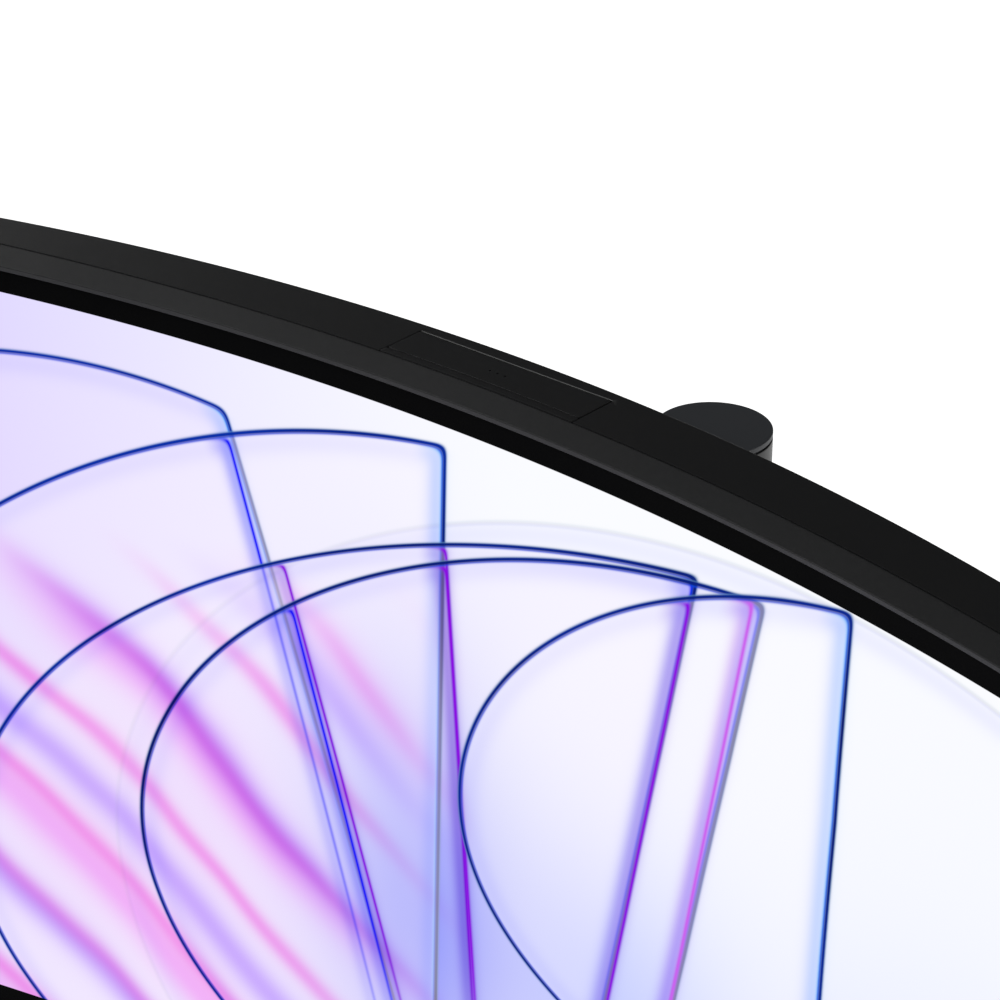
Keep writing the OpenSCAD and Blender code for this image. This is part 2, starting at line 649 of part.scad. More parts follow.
module pillar_foot() color([0.1, 0.1, 0.11]) at_pillar() difference() {
    union() {
        translate([0, 0, deck_z + 1.6]) cylinder(r = 34, h = 4, $fn = 96);
        translate([0, 0, deck_z + 5.6]) cylinder(r1 = 34, r2 = pillar_r, h = foot_z - deck_z - 5.6, $fn = 96);
        translate([0, 0, foot_z - 1]) cylinder(r = tube_in_r - 0.05, h = 19, $fn = 96);
    }
    cylinder(r = post_r + fit, h = 100, $fn = 72);
    translate([0, 0, 26]) cylinder(r = 13.5, h = 50, $fn = 72);
}

module guide_rods() color([0.8, 0.8, 0.82]) at_pillar() both_sides()
    translate([rod_at[0], rod_at[1], foot_z + 18.2])
        cylinder(r = rod_r, h = tube_top - foot_z - 23.4, $fn = 36);

// Plug under the cap that holds the lift spring's drum
module spring_hanger() color([0.4, 0.4, 0.42]) at_pillar() {
    translate([0, 0, tube_top - 5]) cylinder(r = tube_in_r - 0.1, h = 3.3, $fn = 72);
    both_sides() box([10.4, -5, drum_z - 5], [12.6, 2.6, tube_top - 4.9]);
    translate([0, 0, drum_z]) rod_x(2.5, -12.6, 12.6, $fn = 36);
}

module spring_drum() color([0.7, 0.7, 0.72]) at_pillar() translate([0, 0, drum_z]) difference() {
    union() {
        rod_x(drum_r - 0.5, -8, 8, $fn = 72);
        both_sides() rod_x(drum_r, 8, 9.4, $fn = 72);
    }
    rod_x(2.5 + fit, -20, 20, $fn = 36);
    both_sides() for (a = [0:60:300]) rotate([a, 0, 0]) translate([0, 0, 6]) rod_x(1.5, 7, 10, $fn = 24);
}

// Steel band that unwinds from the drum and carries the head's weight
module spring_band() color([0.75, 0.75, 0.78]) at_pillar()
    box([-7, -drum_r - 0.35, screen_z + carriage_h / 2 + 0.1], [7, -drum_r - 0.05, drum_z]);

// Strap round the pillar with an open loop behind it for the leads
module cable_clip() color([0.1, 0.1, 0.11]) at_pillar() translate([0, 0, 144]) difference() {
    union() {
        ring(pillar_r + 0.05, pillar_r + 1.9, 12, $fn = 96);
        translate([0, pillar_r + 10.5, 0]) ring(9.5, 11.5, 12);
    }
    translate([0, pillar_r + 10.5, -1]) difference() {
        cylinder(r = 9.5, h = 14, $fn = 72);
        translate([0, -pillar_r - 10.5, 0]) cylinder(r = pillar_r + 1.9, h = 14, $fn = 96);
    }
    translate([0, 0, -1]) cylinder(r = pillar_r + 0.05, h = 14, $fn = 96);
    translate([0, pillar_r + 10.5, -1]) rotate([0, 0, 35]) translate([6, -3.5, 0]) cube([10, 7, 14]);
}

// --- Base ---

// Centre of the base behind the pillar's axis
function base_mid() = base_back - base_d / 2;

module base_cover() color([0.1, 0.1, 0.11]) at_pillar() difference() {
    translate([0, base_mid(), foot_t]) rounded_block(base_w, base_d, base_t, 16);
    translate([0, base_mid(), foot_t - 1]) rounded_block(base_w - 12, base_d - 12, plate_t + 1.4, 11);
    difference() {
        translate([0, base_mid(), foot_t]) rounded_block(base_w - 30, base_d - 30, base_t - 2.4, 8);
        cylinder(r = 38, h = 40, $fn = 72);
    }
    cylinder(r = post_r + 0.2, h = 40, $fn = 72);
    translate([0, 0, foot_t]) cylinder(r = 16.2, h = plate_t + 2.6, $fn = 72);
}

module base_plate() color([0.6, 0.6, 0.62]) at_pillar() difference() {
    translate([0, base_mid(), plate_z]) rounded_block(base_w - 14, base_d - 14, plate_t, 10);
    cylinder(r = 3.2, h = 20, $fn = 36);
}

module base_feet() color([0.05, 0.05, 0.05]) at_pillar() translate([0, base_mid(), 0])
    for (x = [-1, 1], y = [-1, 0, 1])
        translate([x * (base_w / 2 - 26), y * (base_d / 2 - 26), 0])
            cylinder(r = 9, h = plate_z - 0.05, $fn = 48);

// Post that the pillar swivels on, with the hand screw that pulls it down on the base
module swivel_shaft() color([0.7, 0.7, 0.72]) at_pillar() {
    translate([0, 0, plate_z + plate_t + 0.05]) difference() {
        union() {
            cylinder(r = 16, h = 2, $fn = 72);
            cylinder(r = post_r, h = 27, $fn = 72);
        }
        translate([0, 0, -1]) cylinder(r = 3 + fit, h = 20, $fn = 36);
    }
    translate([0, 0, 0.6]) cylinder(r = 10, h = 1.5, $fn = 48);
    translate([0, 0, 1]) cylinder(r = 3, h = 21, $fn = 36);
}

// Slip ring under the pillar's foot, and the washer and nut that hold the foot down
module swivel_rings() color([0.85, 0.85, 0.83]) at_pillar() {
    translate([0, 0, deck_z + 0.05]) ring(post_r + 0.3, 30, 1.5);
    translate([0, 0, 26.1]) ring(post_r + fit, 13, 1.4);
    translate([0, 0, 27.6]) difference() {
        cylinder(r = 12, h = 4.4, $fn = 6);
        translate([0, 0, -1]) cylinder(r = post_r, h = 8, $fn = 72);
    }
}

front_frame();
lcd_cell();
optical_films();
light_guide();
led_bar();
panel_back_plate();
rear_cover();
rear_housing();
vesa_bracket();
chassis_plate();
chassis_posts();
main_board();
main_board_parts();
power_board();
power_board_parts();
panel_cable();
port_plate();
power_inlet();
hdmi_socket();
display_socket();
usb_c_socket();
usb_a_sockets();
lan_socket();
headphone_socket();
speaker_left();
speaker_right();
lock_plate();
power_led();
cover_screws();
camera_guide();
camera_springs();
camera_shell();
camera_window();
camera_lens_barrel();
camera_lens();
camera_board();
jog_base();
jog_gimbal();
jog_stick();
jog_cap();
mount_plate();
release_latch();
hinge_shaft();
hinge_washers();
head_arm();
carriage();
arm_shroud();
pillar_tube();
pillar_cap();
pillar_foot();
guide_rods();
spring_hanger();
spring_drum();
spring_band();
cable_clip();
base_cover();
base_plate();
base_feet();
swivel_shaft();
swivel_rings();
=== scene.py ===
import json
import math
import bmesh
import bpy
import numpy as np
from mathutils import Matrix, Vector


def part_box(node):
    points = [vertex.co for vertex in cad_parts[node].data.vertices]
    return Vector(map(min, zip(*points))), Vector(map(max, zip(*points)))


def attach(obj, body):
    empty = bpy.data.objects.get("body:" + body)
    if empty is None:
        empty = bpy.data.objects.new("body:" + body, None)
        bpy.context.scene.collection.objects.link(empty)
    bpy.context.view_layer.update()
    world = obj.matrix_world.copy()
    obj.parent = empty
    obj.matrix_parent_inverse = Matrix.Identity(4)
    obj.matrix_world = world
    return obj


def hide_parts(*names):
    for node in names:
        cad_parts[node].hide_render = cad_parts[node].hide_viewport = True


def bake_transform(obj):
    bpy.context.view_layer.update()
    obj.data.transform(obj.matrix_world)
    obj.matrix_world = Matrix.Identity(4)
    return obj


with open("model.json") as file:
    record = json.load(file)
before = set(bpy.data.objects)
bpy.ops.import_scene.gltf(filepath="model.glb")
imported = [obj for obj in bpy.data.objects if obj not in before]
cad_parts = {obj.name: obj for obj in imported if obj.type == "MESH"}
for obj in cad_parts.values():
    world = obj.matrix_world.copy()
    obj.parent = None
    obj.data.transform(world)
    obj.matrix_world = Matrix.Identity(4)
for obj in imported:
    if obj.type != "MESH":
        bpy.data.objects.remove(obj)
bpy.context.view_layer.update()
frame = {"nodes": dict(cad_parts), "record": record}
nodes = frame["nodes"]
print("frame loaded:", len(nodes), "parts")

# Sizes in the dictionaries are in millimetres. A point of the head is given as (arc, height, depth):
# arc runs along the screen's curve from its middle, height is from the screen's middle and depth is
# behind the glass. The stand's pieces are given from the pillar's axis, with height from the desk.
mm = 0.001
screen = dict(curve=1000, width=797.2, height=333.7, border=9.3, lowBorder=12, glass=1.2)
halfWidth, halfHeight = screen["width"] / 2, screen["height"] / 2

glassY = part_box("lcd_cell")[1][1] / mm - screen["glass"]  # the glass's front at its middle
screenZ = (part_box("mount_plate")[0][2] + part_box("mount_plate")[1][2]) / 2 / mm
capLow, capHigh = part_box("pillar_cap")
pillarY = (capLow[1] + capHigh[1]) / 2 / mm
pillarR = (capHigh[0] - capLow[0]) / 2 / mm
pillarTop = capHigh[2] / mm

# "at" is measured from the middle of the lit area's top edge; turn and dip are in radians
camera = dict(at=(674.6, -765.5, 507.0), turn=0.711, dip=0.481, lens=117.4, film=36, nearest=0.02)


def makeCamera():
    # level at a dip of 0 and looking along +Y at a turn of 0
    data = bpy.data.cameras.new("camera")
    data.sensor_width = camera["film"]
    data.lens = camera["lens"]
    data.clip_start = camera["nearest"]
    obj = bpy.data.objects.new("camera", data)
    x, y, z = camera["at"]
    obj.location = (x * mm, (y + glassY) * mm, (z + screenZ + halfHeight) * mm)
    obj.rotation_euler = (math.pi / 2 - camera["dip"], 0, camera["turn"])
    bpy.context.scene.collection.objects.link(obj)
    bpy.context.scene.camera = obj


makeCamera()
print("camera placed")


# Shader maths as Python: a Wire is an output socket, and a sum of wires adds its Math node
class Wire:
    def __init__(self, paint, socket):
        self.paint = paint
        self.socket = socket

    def maths(self, operation, *values):
        # operation(values), in the shader
        return self.paint.node("ShaderNodeMath", dict(operation=operation), *values)

    def __add__(self, other):
        return self.maths("ADD", self, other)

    def __radd__(self, other):
        return self.maths("ADD", other, self)

    def __sub__(self, other):
        return self.maths("SUBTRACT", self, other)

    def __rsub__(self, other):
        return self.maths("SUBTRACT", other, self)

    def __mul__(self, other):
        return self.maths("MULTIPLY", self, other)

    def __rmul__(self, other):
        return self.maths("MULTIPLY", other, self)

    def __truediv__(self, other):
        return self.maths("DIVIDE", self, other)

    def __rtruediv__(self, other):
        return self.maths("DIVIDE", other, self)

    def __pow__(self, other):
        return self.maths("POWER", self, other)

    def __neg__(self):
        return self.maths("MULTIPLY", self, -1)

    def __abs__(self):
        return self.maths("ABSOLUTE", self)

    def clip(self):
        # kept between 0 and 1
        return self.paint.node("ShaderNodeClamp", {}, self, 0, 1)

    def ramp(self, low, high):
        # 0 at low, 1 at high and smooth between; low may be the larger of the two
        settings = dict(interpolation_type="SMOOTHSTEP")
        return self.paint.node("ShaderNodeMapRange", settings, self, low, high, 0, 1)

    def bell(self, width):
        # 1 where the value is 0, falling away over width on both sides
        return self.maths("EXPONENT", -(self * self) * (1 / width ** 2))


# One material: node() adds a node from its type, settings and sockets, and the rest are shorter ways
class Paint:
    def __init__(self, name):
        self.material = bpy.data.materials.new(name)
        self.material.use_nodes = True
        self.tree = self.material.node_tree
        self.tree.nodes.clear()

    def node(self, kind, settings, *values, out=0, **named):
        # values go to the first sockets in order, named ones to theirs; "out" picks what comes back
        made = self.tree.nodes.new(kind)
        for key, value in settings.items():
            setattr(made, key, value)
        for key, value in list(enumerate(values)) + list(named.items()):
            socket = made.inputs[key]
            if isinstance(value, Wire):
                self.tree.links.new(value.socket, socket)
            else:
                socket.default_value = value
        return Wire(self, made.outputs[out] if len(made.outputs) else None)

    def mix(self, factor, a, b, blend="MIX"):
        # a + factor (blend of a and b - a); a colour mix has its factor at socket 0, a at 6 and b at 7
        made = self.tree.nodes.new("ShaderNodeMix")
        made.data_type = "RGBA"
        made.blend_type = blend
        made.clamp_factor = True
        for key, value in ((0, factor), (6, a), (7, b)):
            if isinstance(value, Wire):
                self.tree.links.new(value.socket, made.inputs[key])
            elif key:
                made.inputs[key].default_value = (*value[:3], 1)
            else:
                made.inputs[key].default_value = value
        return Wire(self, made.outputs[2])

    def place(self):
        # the point in the piece's own space, in metres
        return self.node("ShaderNodeTexCoord", {}, out="Object")

    def noise(self, vector, scale, detail=2, rough=0.5):
        # 0 to 1, with about "scale" waves to the metre
        return self.node("ShaderNodeTexNoise", {}, Vector=vector, Scale=scale, Detail=detail, Roughness=rough)

    def bump(self, height, strength, distance):
        # a normal leant by the slope of height times distance
        return self.node("ShaderNodeBump", {}, Height=height, Strength=strength, Distance=distance)

    def finish(self, **sockets):
        # underscores in the names stand for spaces
        named = {k.replace("_", " "): v for k, v in sockets.items()}
        shader = self.node("ShaderNodeBsdfPrincipled", {}, **named)
        self.node("ShaderNodeOutputMaterial", {}, Surface=shader)
        return self.material


def grey(value):
    # red, green and blue alike
    return (value, value, value, 1)


def shade(tone, times, add=0.0):
    # the tone times a number, plus a little, and no brighter than white
    return tuple(min(1, c * times + add) for c in tone)


# Moulded plastic: fine grain, slow changes of tone, and faint smudges in the gloss
def mouldedPlastic(name, tone, rough, grain=0.00022, relief=0.25, specular=0.35):
    paint = Paint(name)
    place = paint.place()
    cloud = paint.noise(place, 9, 3)
    fine = paint.noise(place, 1 / grain, 1)
    colour = paint.mix(cloud * 0.7 + fine * 0.3, shade(tone, 0.75), shade(tone, 1.3))
    smudge = paint.noise(place, 23, 4, 0.6)
    return paint.finish(Base_Color=colour, Roughness=rough + (smudge - 0.5) * 0.12,
                        Normal=paint.bump(fine, relief, grain * 0.4), Specular_IOR_Level=specular)


# Painted metal: a satin coat with orange peel and fine dust in it
def paintedMetal(name, tone, rough, specular=0.45):
    paint = Paint(name)
    place = paint.place()
    peel = paint.noise(place, 900, 2)
    dust = paint.noise(place, 5200, 1)
    cloud = paint.noise(place, 12, 3)
    colour = paint.mix(cloud * 0.6 + dust * 0.4, shade(tone, 0.8), shade(tone, 1.25))
    return paint.finish(Base_Color=colour, Roughness=rough + (cloud - 0.5) * 0.1,
                        Normal=paint.bump(peel * 0.7 + dust * 0.3, 0.2, 0.00006),
                        Specular_IOR_Level=specular)


# Bare metal: drawn or ground one way, with tarnish in patches
def bareMetal(name, tone, rough, stretch=(60, 2600, 2600)):
    paint = Paint(name)
    place = paint.place()
    along = paint.node("ShaderNodeMapping", {}, Vector=place, Scale=stretch)
    lines = paint.noise(along, 1, 3)
    patch = paint.noise(place, 35, 4)
    colour = paint.mix(patch, shade(tone, 0.82), tone)
    dull = rough + (lines - 0.5) * 0.16 + (patch - 0.5) * 0.1
    relief = paint.bump(lines, 0.15, 0.00004)
    return paint.finish(Base_Color=colour, Metallic=1.0, Roughness=dull, Normal=relief)


# Circuit board: lacquer over a web of tracks and round pads
def circuitBoard(name, tone):
    paint = Paint(name)
    place = paint.place()
    cells = paint.node("ShaderNodeTexVoronoi", dict(feature="DISTANCE_TO_EDGE", distance="MANHATTAN"),
                       Vector=place, Scale=260)
    pads = paint.node("ShaderNodeTexVoronoi", {}, Vector=place, Scale=420)
    track = cells.ramp(0.1, 0.05)
    pad = pads.ramp(0.16, 0.1)
    colour = paint.mix(track, tone, shade(tone, 1.9, 0.02))
    colour = paint.mix(pad, colour, (0.75, 0.7, 0.55))
    return paint.finish(Base_Color=colour, Roughness=0.32 + 0.2 * pad, Metallic=pad,
                        Normal=paint.bump(track + pad, 0.3, 0.00004))


# Rubber: dull, faintly chalky
def softRubber(name, tone):
    paint = Paint(name)
    place = paint.place()
    chalk = paint.noise(place, 60, 4, 0.65)
    grain = paint.noise(place, 2600, 2)
    colour = paint.mix(chalk, tone, shade(tone, 2.2))
    return paint.finish(Base_Color=colour, Roughness=0.72 + (chalk - 0.5) * 0.2,
                        Normal=paint.bump(grain, 0.35, 0.0001), Specular_IOR_Level=0.25)


coverTone = (0.0095, 0.0098, 0.0105)


# Camera window: smoked and glossy in front, moulded like its shell along the top
def cameraGlass():
    paint = Paint("cameraWindow")
    place = paint.place()
    fine = paint.noise(place, 4500, 1)
    top = paint.node("ShaderNodeSeparateXYZ", {}, place, out="Z") * 1000 - (screenZ + headTop - 0.5)
    shell = top.ramp(-0.1, 0.1)
    return paint.finish(Base_Color=paint.mix(shell, (0.003, 0.003, 0.004), coverTone),
                        Roughness=0.14 + shell * 0.32, Normal=paint.bump(fine * shell, 0.3, 0.00009),
                        Specular_IOR_Level=0.35)


# Clear or milky plastic: glossy, with a little haze
def clearPlastic(name, tone, rough=0.08):
    paint = Paint(name)
    haze = paint.noise(paint.place(), 40, 3)
    colour = paint.mix(haze, shade(tone, 0.9), tone)
    return paint.finish(Base_Color=colour, Roughness=rough + haze * 0.08)


# Wallpaper: round panes of tinted glass, fanned out and laid over each other, with light falling
# through them in streaks. Places are in millimetres from the lit area's top middle. A pane is an
# oval with a middle, two half widths and a turn; its first side cuts it off and the others are folds
# in it, each given as (place along, lean, tint).
blueFold, violetFold, skyFold = (0.0, 0.0, 0.95), (0.25, 0.0, 0.75), (0.25, 0.55, 1.0)
pinkFold = (0.6, 0.12, 0.85)
wallpaper = dict(
    sky=((0.74, 0.68, 1.0), (0.96, 0.97, 1.0)),
    panes=[
        dict(at=(-190, -245), size=(300, 222), turn=0.15, tint=(0.94, 0.9, 1.0), rim=0.9, clear=0.25,
             sides=[(-122, -0.32, skyFold)]),
        dict(at=(150, -215), size=(330, 212), turn=0.1, tint=(0.98, 0.98, 1.0), rim=0.1, clear=0.0,
             sides=[(330, 0.1, skyFold)]),
        dict(at=(-35, -250), size=(340, 230), turn=0.36, tint=(0.97, 0.94, 1.0), rim=1.0, clear=0.3,
             sides=[(-10, 0.03, skyFold), (-122, -0.28, blueFold)]),
        dict(at=(130, -205), size=(390, 190), turn=0.2, tint=(0.98, 0.95, 1.0), rim=1.0, clear=0.25,
             sides=[(110, 0.2, blueFold), (-12, -0.06, violetFold), (-112, -0.3, violetFold)]),
        dict(at=(130, -182), size=(300, 165), turn=0.2, tint=(0.96, 0.94, 1.0), rim=1.0, clear=0.0,
             sides=[(140, 0.2, blueFold), (-13, -0.07, violetFold), (-112, -0.28, blueFold)]),
        dict(at=(180, -115), size=(190, 112), turn=0.3, tint=(0.99, 0.99, 1.0), rim=0.95, clear=0.25,
             sides=[(176, 0.03, skyFold), (110, 0.19, violetFold), (136, 0.18, pinkFold)]),
    ],
    rim=((0.0, 0.004, 0.09), (0.0, 0.07, 0.9), (0.3, 0.68, 1.0)),
    streaks=((1.0, 0.2, 0.84), (0.58, 0.32, 1.0), (1.0, 0.36, 0.94)),
    pools=[  # middle, half widths, tint, strength
        ((-30, -215), (52, 95), (0.03, 0.1, 0.95), 0.92),
        ((65, -215), (70, 70), (0.35, 0.45, 1.0), 0.75),
        ((-170, -235), (80, 75), (1.0, 0.42, 0.92), 0.5),
        ((250, -250), (120, 110), (0.5, 0.6, 1.0), 0.6),
        ((-330, -120), (90, 110), (0.75, 0.5, 1.0), 0.5),
    ],
)


def paneShape(pane, x, z):
    # distance outside the oval: how far the scaled radius is from 1, times the mean half width there
    (cx, cz), (a, b) = pane["at"], pane["size"]
    c, s = math.cos(pane["turn"]), math.sin(pane["turn"])
    u = ((x - cx) * c + (z - cz) * s) * (1 / a)
    v = ((z - cz) * c - (x - cx) * s) * (1 / b)
    radius = (u * u + v * v) ** 0.5
    along = (abs(u) * a + abs(v) * b) / (abs(u) + abs(v) + 0.001)
    return (radius - 1) * along


def wallpaperColour(paint, x, z):
    # the sky and the pools of light, exp(-(u^2 + v^2)) each, with streaks, powers of a sine, across
    # them; then each pane over that: a veil, soft shade inside its rim and folds, and last its rim, a
    # dark line between a blue one and a pale one
    drift = paint.noise(paint.place(), 7, 2)
    colour = paint.mix((x + 290).ramp(0, 330), *wallpaper["sky"])
    for (cx, cz), (a, b), tint, strength in wallpaper["pools"]:
        u, v = (x - cx) * (1 / a), (z - cz) * (1 / b)
        reach = u * u + v * v
        colour = paint.mix(reach.maths("EXPONENT", -reach) * strength, colour, tint, "MULTIPLY")
    across = x * 0.6 + z * 0.8 + (drift - 0.5) * 34
    low = (z + 70 - x * 0.15).ramp(10, -70) * (x + 30).ramp(40, -70)
    waves = [across.maths("SINE", across * (1 / (7.3 + 4.1 * n)) + 1.7 * n) * 0.5 + 0.5 for n in range(3)]
    for wave, tint in zip(waves, wallpaper["streaks"]):
        colour = paint.mix(wave ** 4 * low * 0.9, colour, tint, "MULTIPLY")
    dark, blue, pale = wallpaper["rim"]
    for pane in wallpaper["panes"]:
        oval = paneShape(pane, x, z)
        lines = []
        for place, lean, tint in pane["sides"]:
            side = (x - place) - z * lean
            lines.append((oval.maths("SMOOTH_MAX", oval, side, 7), side, tint))
        edge = lines[0][0]
        inside = edge.ramp(0.2, -0.2)
        colour = paint.mix(inside * pane["clear"], colour, (1, 0.985, 1))
        colour = paint.mix(inside * 0.6, colour, pane["tint"], "MULTIPLY")
        colour = paint.mix(inside * (edge + 5).bell(5) * 0.2, colour, (0.5, 0.5, 1.0), "MULTIPLY")
        fade = (z - x * 0.1).ramp(-330, -210)
        for fold, side, tint in lines:
            near = side.ramp(-16, -3) * oval.ramp(0.5, -3) * fade
            colour = paint.mix(near * (fold + 4).bell(4.5) * 0.4, colour, tint, "MULTIPLY")
            colour = paint.mix(near * (fold + 1.2).bell(0.95), colour, tint)
        shine = (drift - 0.5) * 3 + 0.5
        rim = pane["rim"]
        colour = paint.mix((edge + 1.0).bell(0.55) * (0.75 * rim), colour, blue)
        colour = paint.mix((edge - 0.55).bell(0.45) * (0.6 * rim), colour, pale)
        line = paint.mix(shine.clip() * 0.35, dark, blue)
        colour = paint.mix((edge.bell(0.95) * (1.2 * rim)).clip(), colour, line)
    for wave, tint in zip(waves, wallpaper["streaks"]):
        colour = paint.mix(wave ** 9 * low * 0.5, colour, tint, "MULTIPLY")
    return colour


# Display: lit wallpaper inside the lit area, and black glass round it
def displayGlass():
    paint = Paint("display")
    uv = paint.node("ShaderNodeUVMap", dict(uv_map="screen"))
    x = paint.node("ShaderNodeSeparateXYZ", {}, uv, out="X") * 1000
    z = paint.node("ShaderNodeSeparateXYZ", {}, uv, out="Y") * 1000
    lit = (abs(x) - halfWidth).ramp(0.1, -0.1) * (abs(z + halfHeight) - halfHeight).ramp(0.1, -0.1)
    picture = paint.mix(lit, (0, 0, 0), wallpaperColour(paint, x, z))
    haze = paint.noise(paint.place(), 60, 3)
    grain = paint.noise(paint.place(), 6000, 1)
    return paint.finish(Base_Color=paint.mix(haze, (0.001, 0.001, 0.0012), (0.002, 0.002, 0.0022)),
                        Roughness=0.3 + (haze - 0.5) * 0.05, Normal=paint.bump(grain, 0.05, 0.00002),
                        Emission_Color=picture, Emission_Strength=1.0, Specular_IOR_Level=0.008)


print("finishes ready")


def onScreen(arc, height, depth):
    # turned about the screen's own centre: x = r sin(arc / curve) and y = r cos(arc / curve) - curve,
    # where r is the curve's radius plus the depth
    turn = np.asarray(arc) / screen["curve"]
    r = screen["curve"] + np.asarray(depth)
    x = r * np.sin(turn)
    y = r * np.cos(turn) - screen["curve"] + glassY
    z = np.asarray(height) + screenZ
    return np.stack(np.broadcast_arrays(x, y, z), -1) * mm


def fromPillar(x, y, z):
    # y from the pillar's axis
    return np.stack(np.broadcast_arrays(x, np.asarray(y) + pillarY, z), -1) * mm


def fromGlass(x, y, z):
    # y from the glass's front at its middle, z from the screen's middle
    return np.stack(np.broadcast_arrays(x, np.asarray(y) + glassY, np.asarray(z) + screenZ), -1) * mm


def lyingBack(x, z, y):
    # the same for a rod that lies from front to back
    return fromGlass(x, y, z)


def softOutline(points, reach, steps=5, closed=True):
    # each corner becomes a short parabola that starts and ends "reach" away from the corner, with
    # one more point beyond each end so that the long faces shade flat
    p = np.asarray(points, float)
    reach = np.broadcast_to(np.asarray(reach, float), len(p)).copy()[:, None]
    before, after = np.roll(p, 1, 0) - p, np.roll(p, -1, 0) - p
    if not closed:
        reach[0] = reach[-1] = 0
    start = p + before / np.linalg.norm(before, axis=1, keepdims=True) * reach
    end = p + after / np.linalg.norm(after, axis=1, keepdims=True) * reach
    t = np.linspace(0, 1, steps)[None, :, None]
    curve = (1 - t) ** 2 * start[:, None] + 2 * t * (1 - t) * p[:, None] + t ** 2 * end[:, None]
    beyond = [start[:, None] * 1.5 - p[:, None] * 0.5, curve, end[:, None] * 1.5 - p[:, None] * 0.5]
    return np.concatenate(beyond, 1).reshape(-1, 2)


def roundedRings(left, right, low, high, radius, across, up, corner=6):
    # one rounded rectangle for each row of the sizes, anticlockwise from its low side: straight
    # sides with "across" and "up" steps, joined by quarter circles
    sizes = np.broadcast_arrays(left, right, low, high, radius)
    left, right, low, high, radius = (np.asarray(v, float).reshape(-1, 1) for v in sizes)
    a, b = np.linspace(0, 1, across + 1)[:-1], np.linspace(0, 1, up + 1)[:-1]
    q = np.linspace(0, math.pi / 2, corner + 1)[:-1]
    w, h = right - left - 2 * radius, high - low - 2 * radius
    s, c = radius * np.sin(q), radius * np.cos(q)
    x = np.hstack([left + radius + w * a, right - radius + s, right + 0 * b, right - radius + c,
                   right - radius - w * a, left + radius - s, left + 0 * b, left + radius - c])
    y = np.hstack([low + 0 * a, low + radius - c, low + radius + h * b, high - radius + s,
                   high + 0 * a, high - radius + c, high - radius - h * b, low + radius - s])
    return x, y


def ringFaces(rings, around, loop):
    # quads between each ring and the next, round and round; loop joins the last ring to the first
    i = np.arange(rings if loop else rings - 1)[:, None]
    j = np.arange(around)[None, :]
    k, m = (i + 1) % rings, (j + 1) % around
    return np.stack([i * around + j, i * around + m, k * around + m, k * around + j], -1).reshape(-1, 4)


def gather(*parts):
    # several (points, quads) joined into one
    points, quads, count = [], [], 0
    for p, q in parts:
        points.append(p.reshape(-1, 3))
        quads.append(q + count)
        count += len(points[-1])
    return np.vstack(points), np.vstack(quads)


def loft(points, loop=False):
    # points is rings by places round a ring
    return points.reshape(-1, 3), ringFaces(points.shape[0], points.shape[1], loop)


def closeEnds(rings):
    # the first and last ring each joined to their own middle
    middle = rings[[0, -1]].mean(1, keepdims=True) + 0 * rings[:2]
    return np.concatenate([middle[:1], rings, middle[1:]])


def turned(profile, to, steps=96, loop=True):
    # the profile's (radius, height) points turned about an axis, which "to" puts in place
    angle = np.linspace(0, 2 * math.pi, steps + 1)[:-1]
    r, h = np.asarray(profile)[:, :1], np.asarray(profile)[:, 1:]
    return loft(to(r * np.cos(angle), r * np.sin(angle), h + 0 * angle), loop)


def tidyMesh(mesh, sharp):
    # doubles merged, needless faces dropped, all faces outwards, edges over the angle left sharp
    work = bmesh.new()
    work.from_mesh(mesh)
    bmesh.ops.remove_doubles(work, verts=work.verts, dist=2e-7)
    bmesh.ops.dissolve_degenerate(work, edges=work.edges, dist=1e-7)
    bmesh.ops.recalc_face_normals(work, faces=work.faces)
    work.to_mesh(mesh)
    work.free()
    mesh.shade_smooth()
    mesh.set_sharp_from_angle(angle=math.radians(sharp))


def makeObject(name, shape, sharp=40):
    # an object at the origin from (points, quads), smooth but for edges over the angle "sharp"
    points, quads = shape
    mesh = bpy.data.meshes.new(name)
    mesh.from_pydata(points.tolist(), [], quads.tolist())
    tidyMesh(mesh, sharp)
    obj = bpy.data.objects.new(name, mesh)
    bpy.context.scene.collection.objects.link(obj)
    return obj


def cutAway(obj, shape):
    # the piece without the cutter's volume
    cutter = makeObject("cutter", shape)
    cut = obj.modifiers.new("cut", "BOOLEAN")
    cut.object = cutter
    cut.operation = "DIFFERENCE"
    cut.solver = "EXACT"
    graph = bpy.context.evaluated_depsgraph_get()
    mesh = bpy.data.meshes.new_from_object(obj.evaluated_get(graph))
    obj.modifiers.clear()
    obj.data = mesh
    bpy.data.objects.remove(cutter)
    mesh.name = obj.name
    mesh.set_sharp_from_angle(angle=math.radians(40))


def settle(obj, body, slot, material, *replaced):
    # the piece's material and body, and the parts that it stands for; the slot is not used
    obj.data.materials.clear()
    obj.data.materials.append(material)
    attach(obj, body)
    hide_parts(*replaced)


def blocks(spans, to):
    # upright boxes from their (low, high) corners: a square ring at each end, then six faces
    low, high = np.asarray(spans, float)[:, 0], np.asarray(spans, float)[:, 1]
    x, y = roundedRings(low[:, 0], high[:, 0], low[:, 1], high[:, 1], 0, 1, 1, 0)
    points = np.stack([to(x, y, low[:, 2:] + 0 * x), to(x, y, high[:, 2:] + 0 * x)], 1)
    count = np.arange(len(low))[:, None, None] * 8
    faces = np.array([[0, 3, 2, 1], [4, 5, 6, 7], [0, 1, 5, 4], [1, 2, 6, 5], [2, 3, 7, 6], [3, 0, 4, 7]])
    return points.reshape(-1, 3), (faces[None] + count).reshape(-1, 4)


